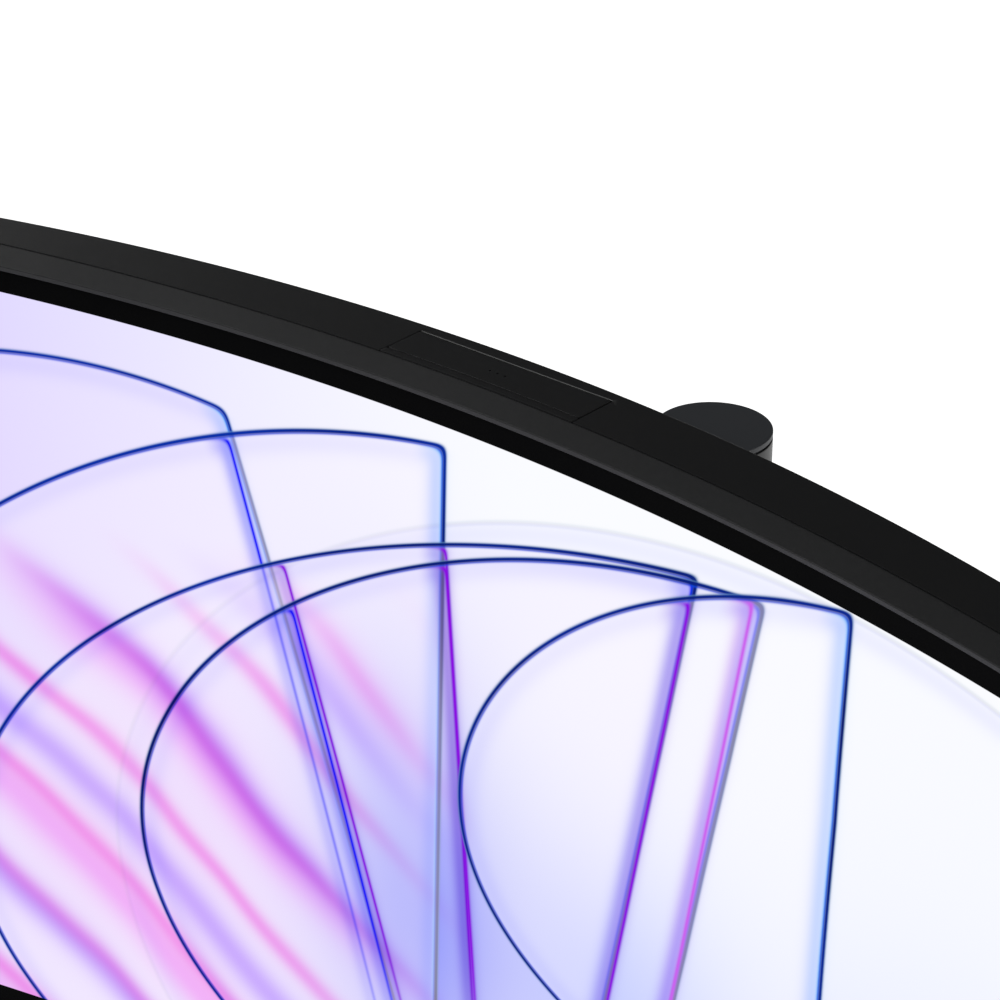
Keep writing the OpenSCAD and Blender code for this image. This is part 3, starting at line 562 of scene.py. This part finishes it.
def rod(centre, radius, start, end, to, steps=48):
    # a plain cylinder along the third direction: r cos and r sin, closed by its ends' middles
    angle = np.linspace(0, 2 * math.pi, steps + 1)[:-1]
    r = np.array([0, radius, radius, 0])[:, None]
    h = np.array([start, start, end, end])[:, None]
    return loft(to(centre[0] + r * np.cos(angle), centre[1] + r * np.sin(angle), h + 0 * angle))


frameSize = dict(gap=1.0, lip=2.3, lowLip=6, proud=3.3, tilt=0.7, rise=5.5, lowRise=3, crease=4.5, corner=5)


def makeFrontFrame():
    # the frame's section, in (distance out from the lit area, depth), carried round the rounded
    # rectangle of the screen and bent with it; below the screen the distances are stretched
    f = frameSize
    inner = screen["border"] + f["gap"]
    outer = inner + f["lip"]
    crease = outer + f["rise"]
    back = f["crease"]
    ledge = screen["border"] + 0.25
    behind = screen["glass"] + 0.1
    section = softOutline([(inner, behind), (inner, f["tilt"] - f["proud"]), (outer, -f["proud"]),
                           (crease, back), (ledge, back), (ledge, behind)],
                          [0.05, 0.3, 0.32, 0.5, 0.1, 0.05], 6)
    out, depth = section[:, 0], section[:, 1]
    low = screen["lowBorder"] + f["gap"]
    below = np.interp(out, [ledge, inner, outer, crease],
                      [screen["lowBorder"] + 0.25, low, low + f["lowLip"], low + f["lowLip"] + f["lowRise"]])
    radius = np.interp(out, [ledge, inner, crease], [0.4, 0.6, f["corner"]])
    arc, height = roundedRings(-halfWidth - out, halfWidth + out, -halfHeight - below, halfHeight + out,
                               radius, 220, 40)
    return makeObject("frontFrame", loft(onScreen(arc, height, depth[:, None]), True), 50)


def makeGlass():
    # a bent sheet: rounded rectangles from the back's middle line out to the rim and in again over
    # the front, so that both faces close on their middle lines
    g = screen
    thick, rim, high = g["glass"], 0.22, halfHeight + g["border"]
    low = -halfHeight - g["lowBorder"]
    half = (high - low) / 2
    inset = np.array([half, half * 0.5, rim, 0, 0, 0.06, rim, 1, 20, half * 0.5, half])
    depth = np.array([thick, thick, thick, thick - rim, rim, 0.06, 0, 0, 0, 0, 0])
    wide = halfWidth + g["border"]
    radius = np.clip(1 - inset, 0.02, 1) * (inset < half)
    arc, height = roundedRings(inset - wide, wide - inset, low + inset, high - inset, radius, 240, 30)
    obj = makeObject("displayGlass", loft(onScreen(arc, height, depth[:, None])), 50)
    layer = obj.data.uv_layers.new(name="screen")
    corner = np.empty(len(obj.data.loops), np.int32)
    obj.data.loops.foreach_get("vertex_index", corner)
    points = np.empty(len(obj.data.vertices) * 3)
    obj.data.vertices.foreach_get("co", points)
    x, y, z = (points.reshape(-1, 3)[corner] / mm).T
    turn = np.arctan2(x, y - glassY + g["curve"])
    place = np.stack([turn * g["curve"], z - screenZ - halfHeight], -1) * mm
    layer.uv.foreach_set("vector", place.ravel())
    return obj


cover = dict(topDepth=32, backR=853, bulge=8, shoulder=40, wall=2.2, seam=0.12, edge=0.9,
             speakers=dict(middle=258, gap=7, each=5, halfWidth=1.1, front=7, back=16),
             statusLamp=dict(x=26, r=1.55), lock=dict(arc=250, halfWidth=3.5, low=-131.5, high=-128.5))
headTop = halfHeight + screen["border"] + frameSize["gap"] + frameSize["lip"] + frameSize["rise"]
headLow = -(halfHeight + screen["lowBorder"] + frameSize["gap"] + frameSize["lowLip"] + frameSize["lowRise"])
headArc = headTop - halfHeight + halfWidth
jog = dict(y=20.5, pivot=6.4, hole=7.5, flutes=24, fluteDepth=0.036)
cameraSize = dict(x=44.3, back=25.3, front=4.8, split=8.2, height=44, gap=0.3, lensDown=13, lensR=4.2,
                  low=0.04, wall=1.6, micGap=3.5, micY=16.4, micR=0.45)


def backDepth(arc, height, inset=0.0):
    # the back is turned about its own, nearer centre, and its radius swells by a sine over the
    # shoulders: depth = offset cos(turn) + sqrt(radius^2 - (offset sin(turn))^2) - the screen's curve
    rise = np.minimum(headTop - height, height - headLow)
    swell = cover["bulge"] * np.sin(np.clip(rise / cover["shoulder"], 0, 1) * math.pi / 2)
    radius = cover["backR"] + swell - inset
    offset = screen["curve"] + cover["topDepth"] - cover["backR"]
    turn = arc / screen["curve"]
    return offset * np.cos(turn) + np.sqrt(radius ** 2 - (offset * np.sin(turn)) ** 2) - screen["curve"]


def makeRearCover():
    # a tray: from the middle line of its inside out to the rim, along the walls, round the rear edge
    # (a parabola) and in over the back to the middle line again
    c, front = cover, frameSize["crease"] + cover["seam"]
    half = (headTop - headLow) / 2
    steps = np.array([0.0, 1.2, 4, 8, 13, 19, 26, 34, 42, 60, 90, 130, 165])  # closer over the shoulders
    back = np.append(c["edge"] + steps, half)
    t = np.linspace(0, 1, 6)[1:-1]
    wallRows = np.array([0.0, 0.02, 0.35, 0.7, 0.96, 1.0])
    inset = np.concatenate([[half], back[:-1][::-1] + c["wall"], [c["wall"]] * 3,
                            np.zeros(len(wallRows)), t ** 2 * c["edge"], back])
    inset = np.minimum(inset, half)
    rows = len(back)
    arc, height = roundedRings(inset - headArc, headArc - inset, headLow + inset, headTop - inset,
                               np.clip(frameSize["corner"] - inset, 0.3, None) * (inset < half), 170, 60)
    outside = backDepth(arc, height)
    inside = backDepth(arc, height, c["wall"])
    depth = outside.copy()
    depth[:rows] = inside[:rows]
    depth[rows] = inside[rows] - 1
    depth[rows + 1] = front + 4
    depth[rows + 2] = front
    wall = slice(rows + 3, rows + 3 + len(wallRows))
    edge = outside[wall]
    depth[wall] = front + (edge - c["edge"] - front) * wallRows[:, None]
    bend = slice(wall.stop, wall.stop + len(t))
    s = t[:, None]
    corner, after = outside[wall.stop - 1], outside[wall.stop + len(t)]
    depth[bend] = (1 - s) ** 2 * (corner - c["edge"]) + 2 * s * (1 - s) * corner + s ** 2 * after
    obj = makeObject("rearCover", loft(onScreen(arc, height, depth)))
    cutAway(obj, gather(cameraHole(), *speakerSlots(), *underHoles(), lockSlot()))
    return obj


def cameraHole():
    # a rounded rectangle seen from above, wider by a small chamfer at the top
    k = cameraSize
    wide, deep = k["x"] + k["gap"], k["back"] + k["gap"]
    chamfer = 0.22
    out = np.array([0, 0, 0, chamfer, chamfer, 0])
    level = np.array([-4, -4, -chamfer, 0, 3, 3])[:, None]
    x, y = roundedRings(-wide - out, wide + out, -1, deep + out, 0.7, 2, 2, 4)
    for end in (0, -1):
        x[end], y[end] = 0 * x[end], 0 * y[end] + 10
    return loft(fromGlass(x, y, headTop + level + 0 * x))


def speakerSlots():
    # two rows of upright slots through the bottom wall, evenly spaced along the arc
    k = cover["speakers"]
    low, high, half = headLow - 1, headLow + cover["wall"] + 1, k["halfWidth"]
    slot = [[(-half, k["front"], low), (half, k["back"], high)]]
    row = range(-k["each"], k["each"] + 1)
    middles = [side * (k["middle"] + k["gap"] * n) for side in (-1, 1) for n in row]
    return [blocks(slot, lambda x, y, z: onScreen(x + middle, z, y)) for middle in middles]


def underHoles():
    # round holes through the bottom wall, for the joystick and the status lamp
    lamp = cover["statusLamp"]
    return [rod((0, jog["y"]), jog["hole"], headLow - 1, headLow + 4, fromGlass),
            rod((lamp["x"], jog["y"]), lamp["r"], headLow - 1, headLow + 4, fromGlass, 24)]


def lockSlot():
    # a slot through the back, turned about the back's centre by its arc over the radius
    k, centre = cover["lock"], cover["topDepth"] - cover["backR"]
    turn = -k["arc"] / (cover["backR"] + cover["bulge"])

    def turnedIn(x, y, z):
        # x cos - reach sin, x sin + reach cos
        reach = np.asarray(y) - centre
        return fromGlass(x * math.cos(turn) - reach * math.sin(turn),
                         x * math.sin(turn) + reach * math.cos(turn) + centre, z)

    return blocks([[(-k["halfWidth"], 30, k["low"]), (k["halfWidth"], 50, k["high"])]], turnedIn)


housing = dict(x=190, top=95, low=-84, y=70, shoulder=48, inX=22, inTop=20, pocket=62, floor=64, wall=2.2,
               corner=7, screws=50, screwR=4.5, vents=33, ventGap=9, ventHalf=1.5)


def makeHousing():
    # rounded rectangles set one behind another: up the sides, over the slopes, across the flat back
    # and down into the pocket; the same again, smaller, for the inside
    h = housing
    back = h["y"]
    # (depth, how far the sides have come in), then (depth, how far outside the pocket's edge)
    skin = [(26, 0), (40, 0), (h["shoulder"] - 2, 0.01), (h["shoulder"] + 1.5, 0.07),
            (h["shoulder"] + 2.5, 0.1157), (back - 4.2, 0.8143), (back - 3.2, 0.86), (back - 0.9, 0.965),
            (back - 0.15, 1.02), (back, 1.1), (back, 1.3)]
    well = [(back, 0.8), (back - 0.25, 0.2), (back - 0.8, 0), (h["floor"] + 0.6, 0), (h["floor"], -0.6),
            (h["floor"], -30), (h["floor"], -h["pocket"])]
    rows = [(h["x"] - h["inX"] * t, h["top"] - h["inTop"] * t, h["low"] + 0.6 * max(0, t - 0.9), y,
             h["corner"]) for y, t in skin]
    for y, out in well:
        p = h["pocket"] + out
        rows.append((p, p, -p, y, 3 if p > 3 else 0))
    outer = np.array(rows)
    inner = outer[:len(skin)].copy()
    inner[:, 0] -= h["wall"]
    inner[:, 1] -= h["wall"]
    inner[:, 2] += h["wall"]
    inner[1:, 3] -= h["wall"]
    p = h["pocket"] + h["wall"]
    deep = h["floor"] - h["wall"]
    pocketRows = np.array([(p, p, -p, back - h["wall"], 3), (p, p, -p, deep, 3), (0, 0, 0, deep, 0)])
    sizes = np.vstack([pocketRows[::-1], inner[::-1], outer])
    x, z = roundedRings(-sizes[:, 0], sizes[:, 0], sizes[:, 2], sizes[:, 1], sizes[:, 4], 60, 30)
    y = sizes[:, 3:4] + 0 * x
    first = len(pocketRows) + len(inner) - 1
    brim = slice(first, first + 2)
    turn = np.arctan2(x[brim], screen["curve"] + 20)
    reach = backDepth(turn * screen["curve"], z[brim]) + screen["curve"]
    y[brim] = reach * np.cos(turn) - screen["curve"] - 1.2  # sunk a little into the cover
    obj = makeObject("rearHousing", loft(fromGlass(x, y, z)))
    inX, backY = h["x"] - h["wall"] - 0.3, back - h["wall"] - 0.2
    under = np.array([(-inX, 10), (inX, 10), (inX, h["shoulder"]), (inX - h["inX"], backY),
                      (h["inX"] - inX, backY), (-inX, h["shoulder"])])
    ring = np.stack([under, under])
    level = np.array([[h["low"] - 5.0], [h["low"] + 4.5]]) + 0 * ring[..., 0]
    prism = fromGlass(ring[..., 0], ring[..., 1], level)
    cutAway(obj, loft(closeEnds(prism)))
    each, half = h["vents"] // 2, h["ventHalf"]
    middles = [h["ventGap"] * n for n in range(-each, each + 1)]
    vents = [[(middle - half, 50, 68), (middle + half, 64, h["top"] + 5)] for middle in middles]
    screws = [rod((sx * h["screws"], sz * h["screws"]), h["screwR"], 55, 70, lyingBack, 40)
              for sx in (-1, 1) for sz in (-1, 1)]
    cutAway(obj, gather(blocks(vents, fromGlass), *screws))
    return obj


def makeCameraShell():
    # rounded rectangles seen from above: up the outside, over the rounded top edge and in to the
    # middle line, with the same again inside; the front follows the screen's curve
    k = cameraSize
    low, top, wall, edge = headTop - k["height"], headTop - k["low"], k["wall"], 0.1
    front, back = k["split"] + 0.45, k["back"] - 0.15
    half = (back - front) / 2
    t = np.linspace(0, 1, 5)
    outer = np.array([(0, low), (0, top - edge)] + [(a * a * edge, top - (1 - a) ** 2 * edge) for a in t[1:]]
                     + [(1.2, top), (3, top), (half, top)])
    inner = np.array([(half, top - wall), (wall, top - wall), (wall, low)])
    rows = np.vstack([inner, outer])
    inset, height = rows[:, 0], rows[:, 1:]
    wide = k["x"] - 0.2
    x, y = roundedRings(inset - wide, wide - inset, front + inset, back - inset,
                        np.clip(0.7 - inset, 0.05, None) * (inset < half), 60, 12, 4)
    bend = x ** 2 / (2 * screen["curve"]) * np.clip((back - y) / (back - front), 0, 1)
    obj = makeObject("cameraShell", loft(fromGlass(x, y - bend, height + 0 * x)))
    holes = [rod((k["micGap"] * n, k["micY"]), k["micR"], headTop - 3, headTop + 2, fromGlass, 20)
             for n in (-1, 0, 1)]
    cutAway(obj, gather(*holes))
    return obj


def makeCameraWindow():
    # a thin upright slab with soft edges, bent like the screen, with the lens's hole through it
    k = cameraSize
    low, top, edge = headTop - k["height"], headTop - k["low"], 0.14
    half = (k["split"] - k["front"]) / 2
    inset = np.array([half, edge, 0.04, 0, 0, 0.04, edge, 1, half])
    height = np.array([low, low, low + 0.04, low + edge, top - edge, top - 0.04, top, top, top])[:, None]
    wide = k["x"] - 0.2
    x, y = roundedRings(inset - wide, wide - inset, k["front"] + inset, k["split"] - inset,
                        np.clip(0.5 - inset, 0.05, None) * (inset < half), 60, 4, 4)
    obj = makeObject("cameraWindow", loft(onScreen(x, height + 0 * x, y)))
    cutAway(obj, rod((0, headTop - k["lensDown"]), k["lensR"], 0, 20, lyingBack))
    return obj


pillar = dict(wall=2.5, cap=2.2, groove=1.0, foot=22, slotX=10.5, slotHalf=80)


def makePillarTube():
    # a turned wall, with an upright rounded slot cut through its front for the arm
    p = pillar
    top = pillarTop - p["cap"] - p["groove"]
    inner = pillarR - p["wall"]
    section = softOutline([(pillarR, p["foot"]), (pillarR, top), (inner, top), (inner, p["foot"])], 0.35)
    obj = makeObject("pillarTube", turned(section, fromPillar, 128))
    x, z = roundedRings([-p["slotX"]] * 4, [p["slotX"]] * 4, [screenZ - p["slotHalf"]] * 4,
                        [screenZ + p["slotHalf"]] * 4, 2, 4, 12)
    y = np.array([[-45.0], [-45.0], [-10.0], [-10.0]]) + 0 * x
    for end in (0, 3):
        x[end], z[end] = x[end] * 0, z[end] * 0 + screenZ
    cutAway(obj, loft(fromPillar(x, y, z)))
    return obj


def makePillarCap():
    # turned: a disc with a small bright edge, a groove under it and a plug that sits in the tube
    p = pillar
    top, disc = pillarTop, pillarTop - p["cap"]
    inner = pillarR - p["wall"] - 0.2
    rim, neck, ledge = pillarR - 0.02, pillarR - 0.9, disc - p["groove"]
    section = softOutline([(0, top - 0.02), (rim, top - 0.02), (rim, disc), (neck, disc), (neck, ledge),
                           (inner, ledge), (inner, ledge - 1.4), (0, ledge - 1.4)],
                          [0, 0.45, 0.2, 0.1, 0.1, 0.1, 0.2, 0], 6, closed=False)
    return makeObject("pillarCap", turned(section, fromPillar, 160, False))


foot = dict(low=13.6, r=34, flange=2.2, shaft=8.05, bore=13.5, step=26, top=40)


def makePillarFoot():
    # turned: a flange that sweeps in to the tube, r falling with (1 - f)^2 as the height goes up with
    # f^1.7, then a plug inside the tube with a stepped bore
    f, t = foot, np.linspace(0, 1, 12)
    ledge, tube = f["low"] + f["flange"], pillar["foot"]
    flare = np.stack([pillarR + (f["r"] - pillarR) * (1 - t) ** 2, ledge + (tube - ledge) * t ** 1.7], -1)
    inner = pillarR - pillar["wall"] - 0.05
    section = softOutline([(f["shaft"], f["low"]), (f["r"] - 0.4, f["low"]), (f["r"], f["low"] + 0.4)]
                          + flare.tolist() + [(inner, tube), (inner, f["top"]), (f["bore"], f["top"]),
                                              (f["bore"], f["step"]), (f["shaft"], f["step"])],
                          [0.1, 0.2, 0.2] + [0.1] * (len(t) + 5), 3)
    return makeObject("pillarFoot", turned(section, fromPillar, 128))


base = dict(width=280, depth=245, back=46, low=2, thick=10, corner=16, lip=6, edge=3.2, hole=8.2, recess=16.2,
            ceiling=7.6, under=5.4)


def makeBaseCover():
    # rounded rectangles: up the outside, over a soft edge, across the deck to the pillar's hole, and
    # back underneath; the deck's outline turns into the hole's circle on the way
    b = base
    middle = b["back"] - b["depth"] / 2
    w, d, low, top = b["width"] / 2, b["depth"] / 2, b["low"], b["low"] + b["thick"]
    t = np.linspace(0, 1, 7)[:, None]
    edge, hole, recess, ceiling, under = b["edge"], b["hole"], b["recess"], b["ceiling"], b["under"]
    bend = np.hstack([t ** 2 * edge, top - (1 - t) ** 2 * edge])
    rows = [(0.5, low), (0, low + 0.5), (0, top - edge)] + bend[1:].tolist() + [(9, top)]
    # (half width, half depth, middle, height, corner)
    sizes = [(w - i, d - i, middle, z, b["corner"] - min(i, 8)) for i, z in rows]
    rounds = [(30, top), (hole + 0.4, top), (hole, top - 0.4), (hole, ceiling), (recess, ceiling),
              (recess, under)]
    sizes += [(r, r, 0, z, r) for r, z in rounds]
    sizes += [(w - b["lip"], d - b["lip"], middle, z, b["corner"] - 5) for z in (under, low)]
    s = np.array(sizes)
    x, y = roundedRings(-s[:, 0], s[:, 0], s[:, 2] - s[:, 1], s[:, 2] + s[:, 1], s[:, 4] - 1e-4, 40, 36, 10)
    return makeObject("baseCover", loft(fromPillar(x, y, s[:, 3:4] + 0 * x), True), 35)


clip = dict(low=144, tall=12, strap=1.9, loop=10.5, half=1, start=72, end=395)


def makeCableClip():
    # a strap round the pillar, and an open loop behind it: a rounded section carried round an arc
    k, r = clip, pillarR
    low, high = k["low"], k["low"] + k["tall"]
    inside, outside = r + 0.05, r + k["strap"]
    strap = softOutline([(inside, low), (outside, low), (outside, high), (inside, high)], 0.5)
    inside, outside = k["loop"] - k["half"], k["loop"] + k["half"]
    section = softOutline([(inside, low), (outside, low), (outside, high), (inside, high)], 0.6)
    turn = np.radians(np.linspace(k["start"], k["end"], 80))[:, None]
    radius, height = section[:, 0][None], section[:, 1][None]
    rings = fromPillar(radius * np.cos(turn), r + k["loop"] + radius * np.sin(turn), height + 0 * turn)
    return makeObject("cableClip", gather(turned(strap, fromPillar, 96), loft(closeEnds(rings))))


shroud = dict(x=16, z=18, front=114.5, back=128, holeX=10.15, holeZ=12.15)


def makeArmShroud():
    # a short square sleeve with rounded edges, hollowed for the pillar: (half width, half height,
    # depth, corner) up the outside, over the front and back through the arm's hole
    k = shroud
    x, z, front, back, inX, inZ = k["x"], k["z"], k["front"], k["back"], k["holeX"], k["holeZ"]
    rows = np.array([(x, z, back, 4), (x, z, front + 1.5, 4), (x - 0.2, z - 0.2, front + 0.4, 4),
                     (x - 1, z - 1, front, 3.6), (inX + 0.25, inZ + 0.25, front, 1),
                     (inX, inZ, front + 0.4, 1), (inX, inZ, back, 1)])
    x, z = roundedRings(-rows[:, 0], rows[:, 0], -rows[:, 1], rows[:, 1], rows[:, 3], 12, 12)
    obj = makeObject("armShroud", loft(fromGlass(x, rows[:, 2:3] + 0 * x, z), True))
    cutAway(obj, rod((0, 0), pillarR + 0.3, screenZ - 60, screenZ + 60, fromPillar, 128))
    return obj


band = dict(y=-10.2, half=7, thick=0.3, low=25.1, down=18.8)


def makeSpringBand():
    # the strip between the drum and the carriage
    k = band
    low, high = screenZ + k["low"], pillarTop - k["down"]
    rows = np.array([(0, low), (1, low), (1, low + 2), (1, high - 2), (1, high), (0, high)])
    half, thick = k["half"] * rows[:, 0], k["thick"] / 2 * rows[:, 0]
    x, across = roundedRings(-half, half, -thick, thick, 0, 2, 1, 0)
    obj = makeObject("springBand", loft(fromPillar(x, k["y"] + across, rows[:, 1:] + 0 * x)), 35)
    start, end = fromPillar(0, k["y"], high), fromPillar(0, k["y"], low)
    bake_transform(obj)
    return obj


coil = dict(x=36, y=19, radius=2.6, wire=0.2, turns=9, low=5.5, tall=3)


def makeCameraSpring(side):
    # a round wire along a helix, closed at both ends by its middle points
    k = coil
    low, tall = headTop - cameraSize["height"] - k["low"], cameraSize["height"] + k["tall"]
    turn = np.linspace(0, 2 * math.pi * k["turns"], 24 * k["turns"] + 1)[:, None]
    ring = np.linspace(0, 2 * math.pi, 11)[:-1][None]
    r, wire, x, y = k["radius"] + k["wire"] * np.cos(ring), k["wire"], k["x"] * side, k["y"]
    height = low + wire + (tall - 2 * wire) * turn / turn[-1] + wire * np.sin(ring)
    points = fromGlass(x + r * np.cos(turn), y + r * np.sin(turn), height)
    obj = makeObject(f"cameraSpring{side + 1}", loft(closeEnds(points)), 35)
    fromGlass(x, y, low).tolist()
    fromGlass(x, y, low + tall).tolist()
    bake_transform(obj)
    return obj


def makeJogCap():
    # turned, with shallow grip flutes round the cap: the radius follows a cosine of the angle
    # (radius, height above the pivot) and the reach of each corner's curve
    outline = [(0, -14.6, 0), (4.9, -14.6, 0.6), (5.35, -13.9, 0.3), (5.35, -9.6, 0.2), (4.9, -9.2, 0.2),
               (3.4, -9.1, 0.3), (3.4, -5.1, 0.2), (2.05, -5.1, 0.1), (2.05, -11.8, 0.1), (0, -11.8, 0)]
    section = softOutline([p[:2] for p in outline], [p[2] for p in outline], 4, closed=False)
    angle = np.linspace(0, 2 * math.pi, 145)[:-1]
    r, h = section[:, :1], section[:, 1:]
    grip = (r > 5) * (h > -13.5)
    r = r * (1 - jog["fluteDepth"] / 2 * (1 + np.cos(jog["flutes"] * angle)) * grip)
    shape = fromGlass(r * np.cos(angle), jog["y"] + r * np.sin(angle), headLow + jog["pivot"] + h + 0 * angle)
    return makeObject("jogCap", loft(shape))


framePlastic = mouldedPlastic("framePlastic", (0.0062, 0.0065, 0.0072), 0.42, specular=0.12)
coverPlastic = mouldedPlastic("coverPlastic", coverTone, 0.46, relief=0.3)
housingPlastic = mouldedPlastic("housingPlastic", (0.013, 0.0133, 0.0142), 0.5, grain=0.0004, relief=0.5)
cameraPlastic = mouldedPlastic("cameraPlastic", coverTone, 0.46, relief=0.3)
pillarPaint = paintedMetal("pillarPaint", (0.006, 0.0062, 0.0068), 0.42)
capPaint = paintedMetal("capPaint", (0.036, 0.039, 0.044), 0.5)
basePaint = paintedMetal("basePaint", (0.011, 0.0113, 0.012), 0.45)

settle(makeFrontFrame(), "head", "frame_plastic", framePlastic, "front_frame")
settle(makeGlass(), "head", "screen_glass", displayGlass(), "lcd_cell")
print("screen done")
settle(makeRearCover(), "head", "cover_plastic", coverPlastic, "rear_cover")
settle(makeHousing(), "head", "cover_plastic", housingPlastic, "rear_housing")
print("covers done")
settle(makeCameraShell(), "camera", "camera_plastic", cameraPlastic, "camera_shell")
settle(makeCameraWindow(), "camera", "camera_window", cameraGlass(), "camera_window")
print("camera done")
settle(makePillarTube(), "pillar", "pillar_paint", pillarPaint, "pillar_tube")
settle(makePillarCap(), "pillar", "cap_paint", capPaint, "pillar_cap")
settle(makePillarFoot(), "pillar", "base_paint", basePaint, "pillar_foot")
clipRubber = softRubber("clipRubber", (0.012, 0.012, 0.013))
settle(makeCableClip(), "pillar", "clip_rubber", clipRubber, "cable_clip")
settle(makeArmShroud(), "carriage", "speaker_box", housingPlastic, "arm_shroud")
settle(makeBaseCover(), "base", "base_paint", basePaint, "base_cover")
settle(makeJogCap(), "joystick_cap", "cover_plastic", housingPlastic, "jog_cap")
print("stand done")
springSteel = bareMetal("springSteel", (0.75, 0.75, 0.77), 0.2)
springs = [makeSpringBand(), makeCameraSpring(-1), makeCameraSpring(1)]
for piece, node in zip(springs, ["spring_band", "camera_springs", "camera_springs"]):
    piece.data.materials.append(springSteel)
    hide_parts(node)
print("springs done")

# Finishes of the parts that keep their own shape, by material slot
slotFinish = dict(
    film=mouldedPlastic("film", (0.8, 0.8, 0.82), 0.6),
    light_guide=clearPlastic("lightGuide", (0.8, 0.88, 0.92)),
    led_strip=mouldedPlastic("ledStrip", (0.8, 0.75, 0.5), 0.5),
    sheet_steel=bareMetal("sheetSteel", (0.62, 0.63, 0.64), 0.36),
    circuit_board=circuitBoard("circuitBoard", (0.01, 0.12, 0.05)),
    power_circuit_board=circuitBoard("powerBoard", (0.32, 0.2, 0.07)),
    electronic_parts=mouldedPlastic("electronicParts", (0.03, 0.03, 0.033), 0.45),
    ribbon=mouldedPlastic("ribbon", (0.7, 0.6, 0.42), 0.35),
    port_plate=paintedMetal("portPlate", (0.03, 0.03, 0.032), 0.45),
    socket_shell=bareMetal("socketShell", (0.72, 0.71, 0.69), 0.28),
    usb_socket=mouldedPlastic("usbSocket", (0.02, 0.09, 0.4), 0.35),
    socket_plastic=mouldedPlastic("socketPlastic", (0.012, 0.012, 0.013), 0.4),
    speaker_box=mouldedPlastic("boxPlastic", (0.016, 0.016, 0.017), 0.5),
    led_lens=clearPlastic("ledLens", (0.85, 0.9, 0.95), 0.15),
    screw_steel=bareMetal("screwSteel", (0.1, 0.1, 0.11), 0.4),
    spring_steel=springSteel,
    lens_glass=clearPlastic("lensGlass", (0.01, 0.012, 0.03), 0.04),
    jog_metal=bareMetal("platedSteel", (0.58, 0.57, 0.55), 0.3),
    mount_metal=paintedMetal("mountPaint", (0.014, 0.014, 0.015), 0.5),
    cast_aluminium=bareMetal("castAluminium", (0.5, 0.5, 0.51), 0.45, (900, 900, 900)),
    foot_rubber=softRubber("footRubber", (0.01, 0.01, 0.01)),
)


def paintParts():
    # the slots that aren't listed belong only to parts that a piece stands for
    for part in frame["record"]["subparts"]:
        if part["material_slot"] in slotFinish:
            obj = nodes[part["node"]]
            obj.data.materials.clear()
            obj.data.materials.append(slotFinish[part["material_slot"]])


paintParts()
print("parts painted")

studio = dict(floor=0.9, floorGlow=0.93, floorSide=60, sky=0.05,
              lights=[  # (place, aim, size, watts)
                  ((-3.2, 1.35, 1.7), (0, 0, 0.45), 1.6, 6),
                  ((-1.0, -0.75, 1.4), (-0.2, 0, 0.45), 0.8, 15),
                  ((1.9, 2.1, 1.5), (0, 0, 0.3), 1.2, 12),
                  ((1.9, -1.6, 1.5), (0, 0, 0.35), 1.2, 1.5),
              ])


def makeStudio():
    # a wide pale floor just under the feet, a sky and square lamps, each turned from straight down to
    # its aim: acos of the drop over the distance, then round by the way it looks
    side = studio["floorSide"]
    x, y = roundedRings([-side] * 2, [side] * 2, [-side] * 2, [side] * 2, 0, 6, 6, 0)
    x[0], y[0] = x[0] * 0, y[0] * 0
    floor = makeObject("floor", loft(np.stack([x, y, 0 * x - 0.0002], -1)), 35)
    paint = Paint("floor")
    speckle = paint.noise(paint.place(), 4, 2)
    colour = paint.mix(speckle, grey(studio["floor"] * 0.985), grey(studio["floor"]))
    floor.data.materials.append(paint.finish(Base_Color=colour, Roughness=0.7, Emission_Color=grey(1),
                                             Emission_Strength=studio["floorGlow"], Specular_IOR_Level=0.1))
    world = bpy.data.worlds.new("studio")
    world.use_nodes = True
    ray = world.node_tree.nodes.new("ShaderNodeLightPath")
    sky = world.node_tree.nodes.new("ShaderNodeMix")  # dim for the light it gives, white where it is seen
    sky.data_type = "RGBA"
    sky.inputs[6].default_value, sky.inputs[7].default_value = grey(studio["sky"]), grey(1)
    world.node_tree.links.new(ray.outputs["Is Camera Ray"], sky.inputs[0])
    world.node_tree.links.new(sky.outputs[2], world.node_tree.nodes["Background"].inputs[0])
    bpy.context.scene.world = world
    for n, (place, aim, size, watts) in enumerate(studio["lights"]):
        data = bpy.data.lights.new(f"softbox{n}", "AREA")
        data.shape = "SQUARE"
        data.size = size
        data.energy = watts
        lamp = bpy.data.objects.new(f"softbox{n}", data)
        lamp.location = place
        lamp.visible_camera = False
        toward = np.subtract(aim, place)
        lamp.rotation_euler = (math.acos(-toward[2] / np.linalg.norm(toward)), 0,
                               math.atan2(toward[1], toward[0]) - math.pi / 2)
        bpy.context.scene.collection.objects.link(lamp)
    bpy.context.scene.view_settings.view_transform = "Standard"


makeStudio()
print("studio ready")
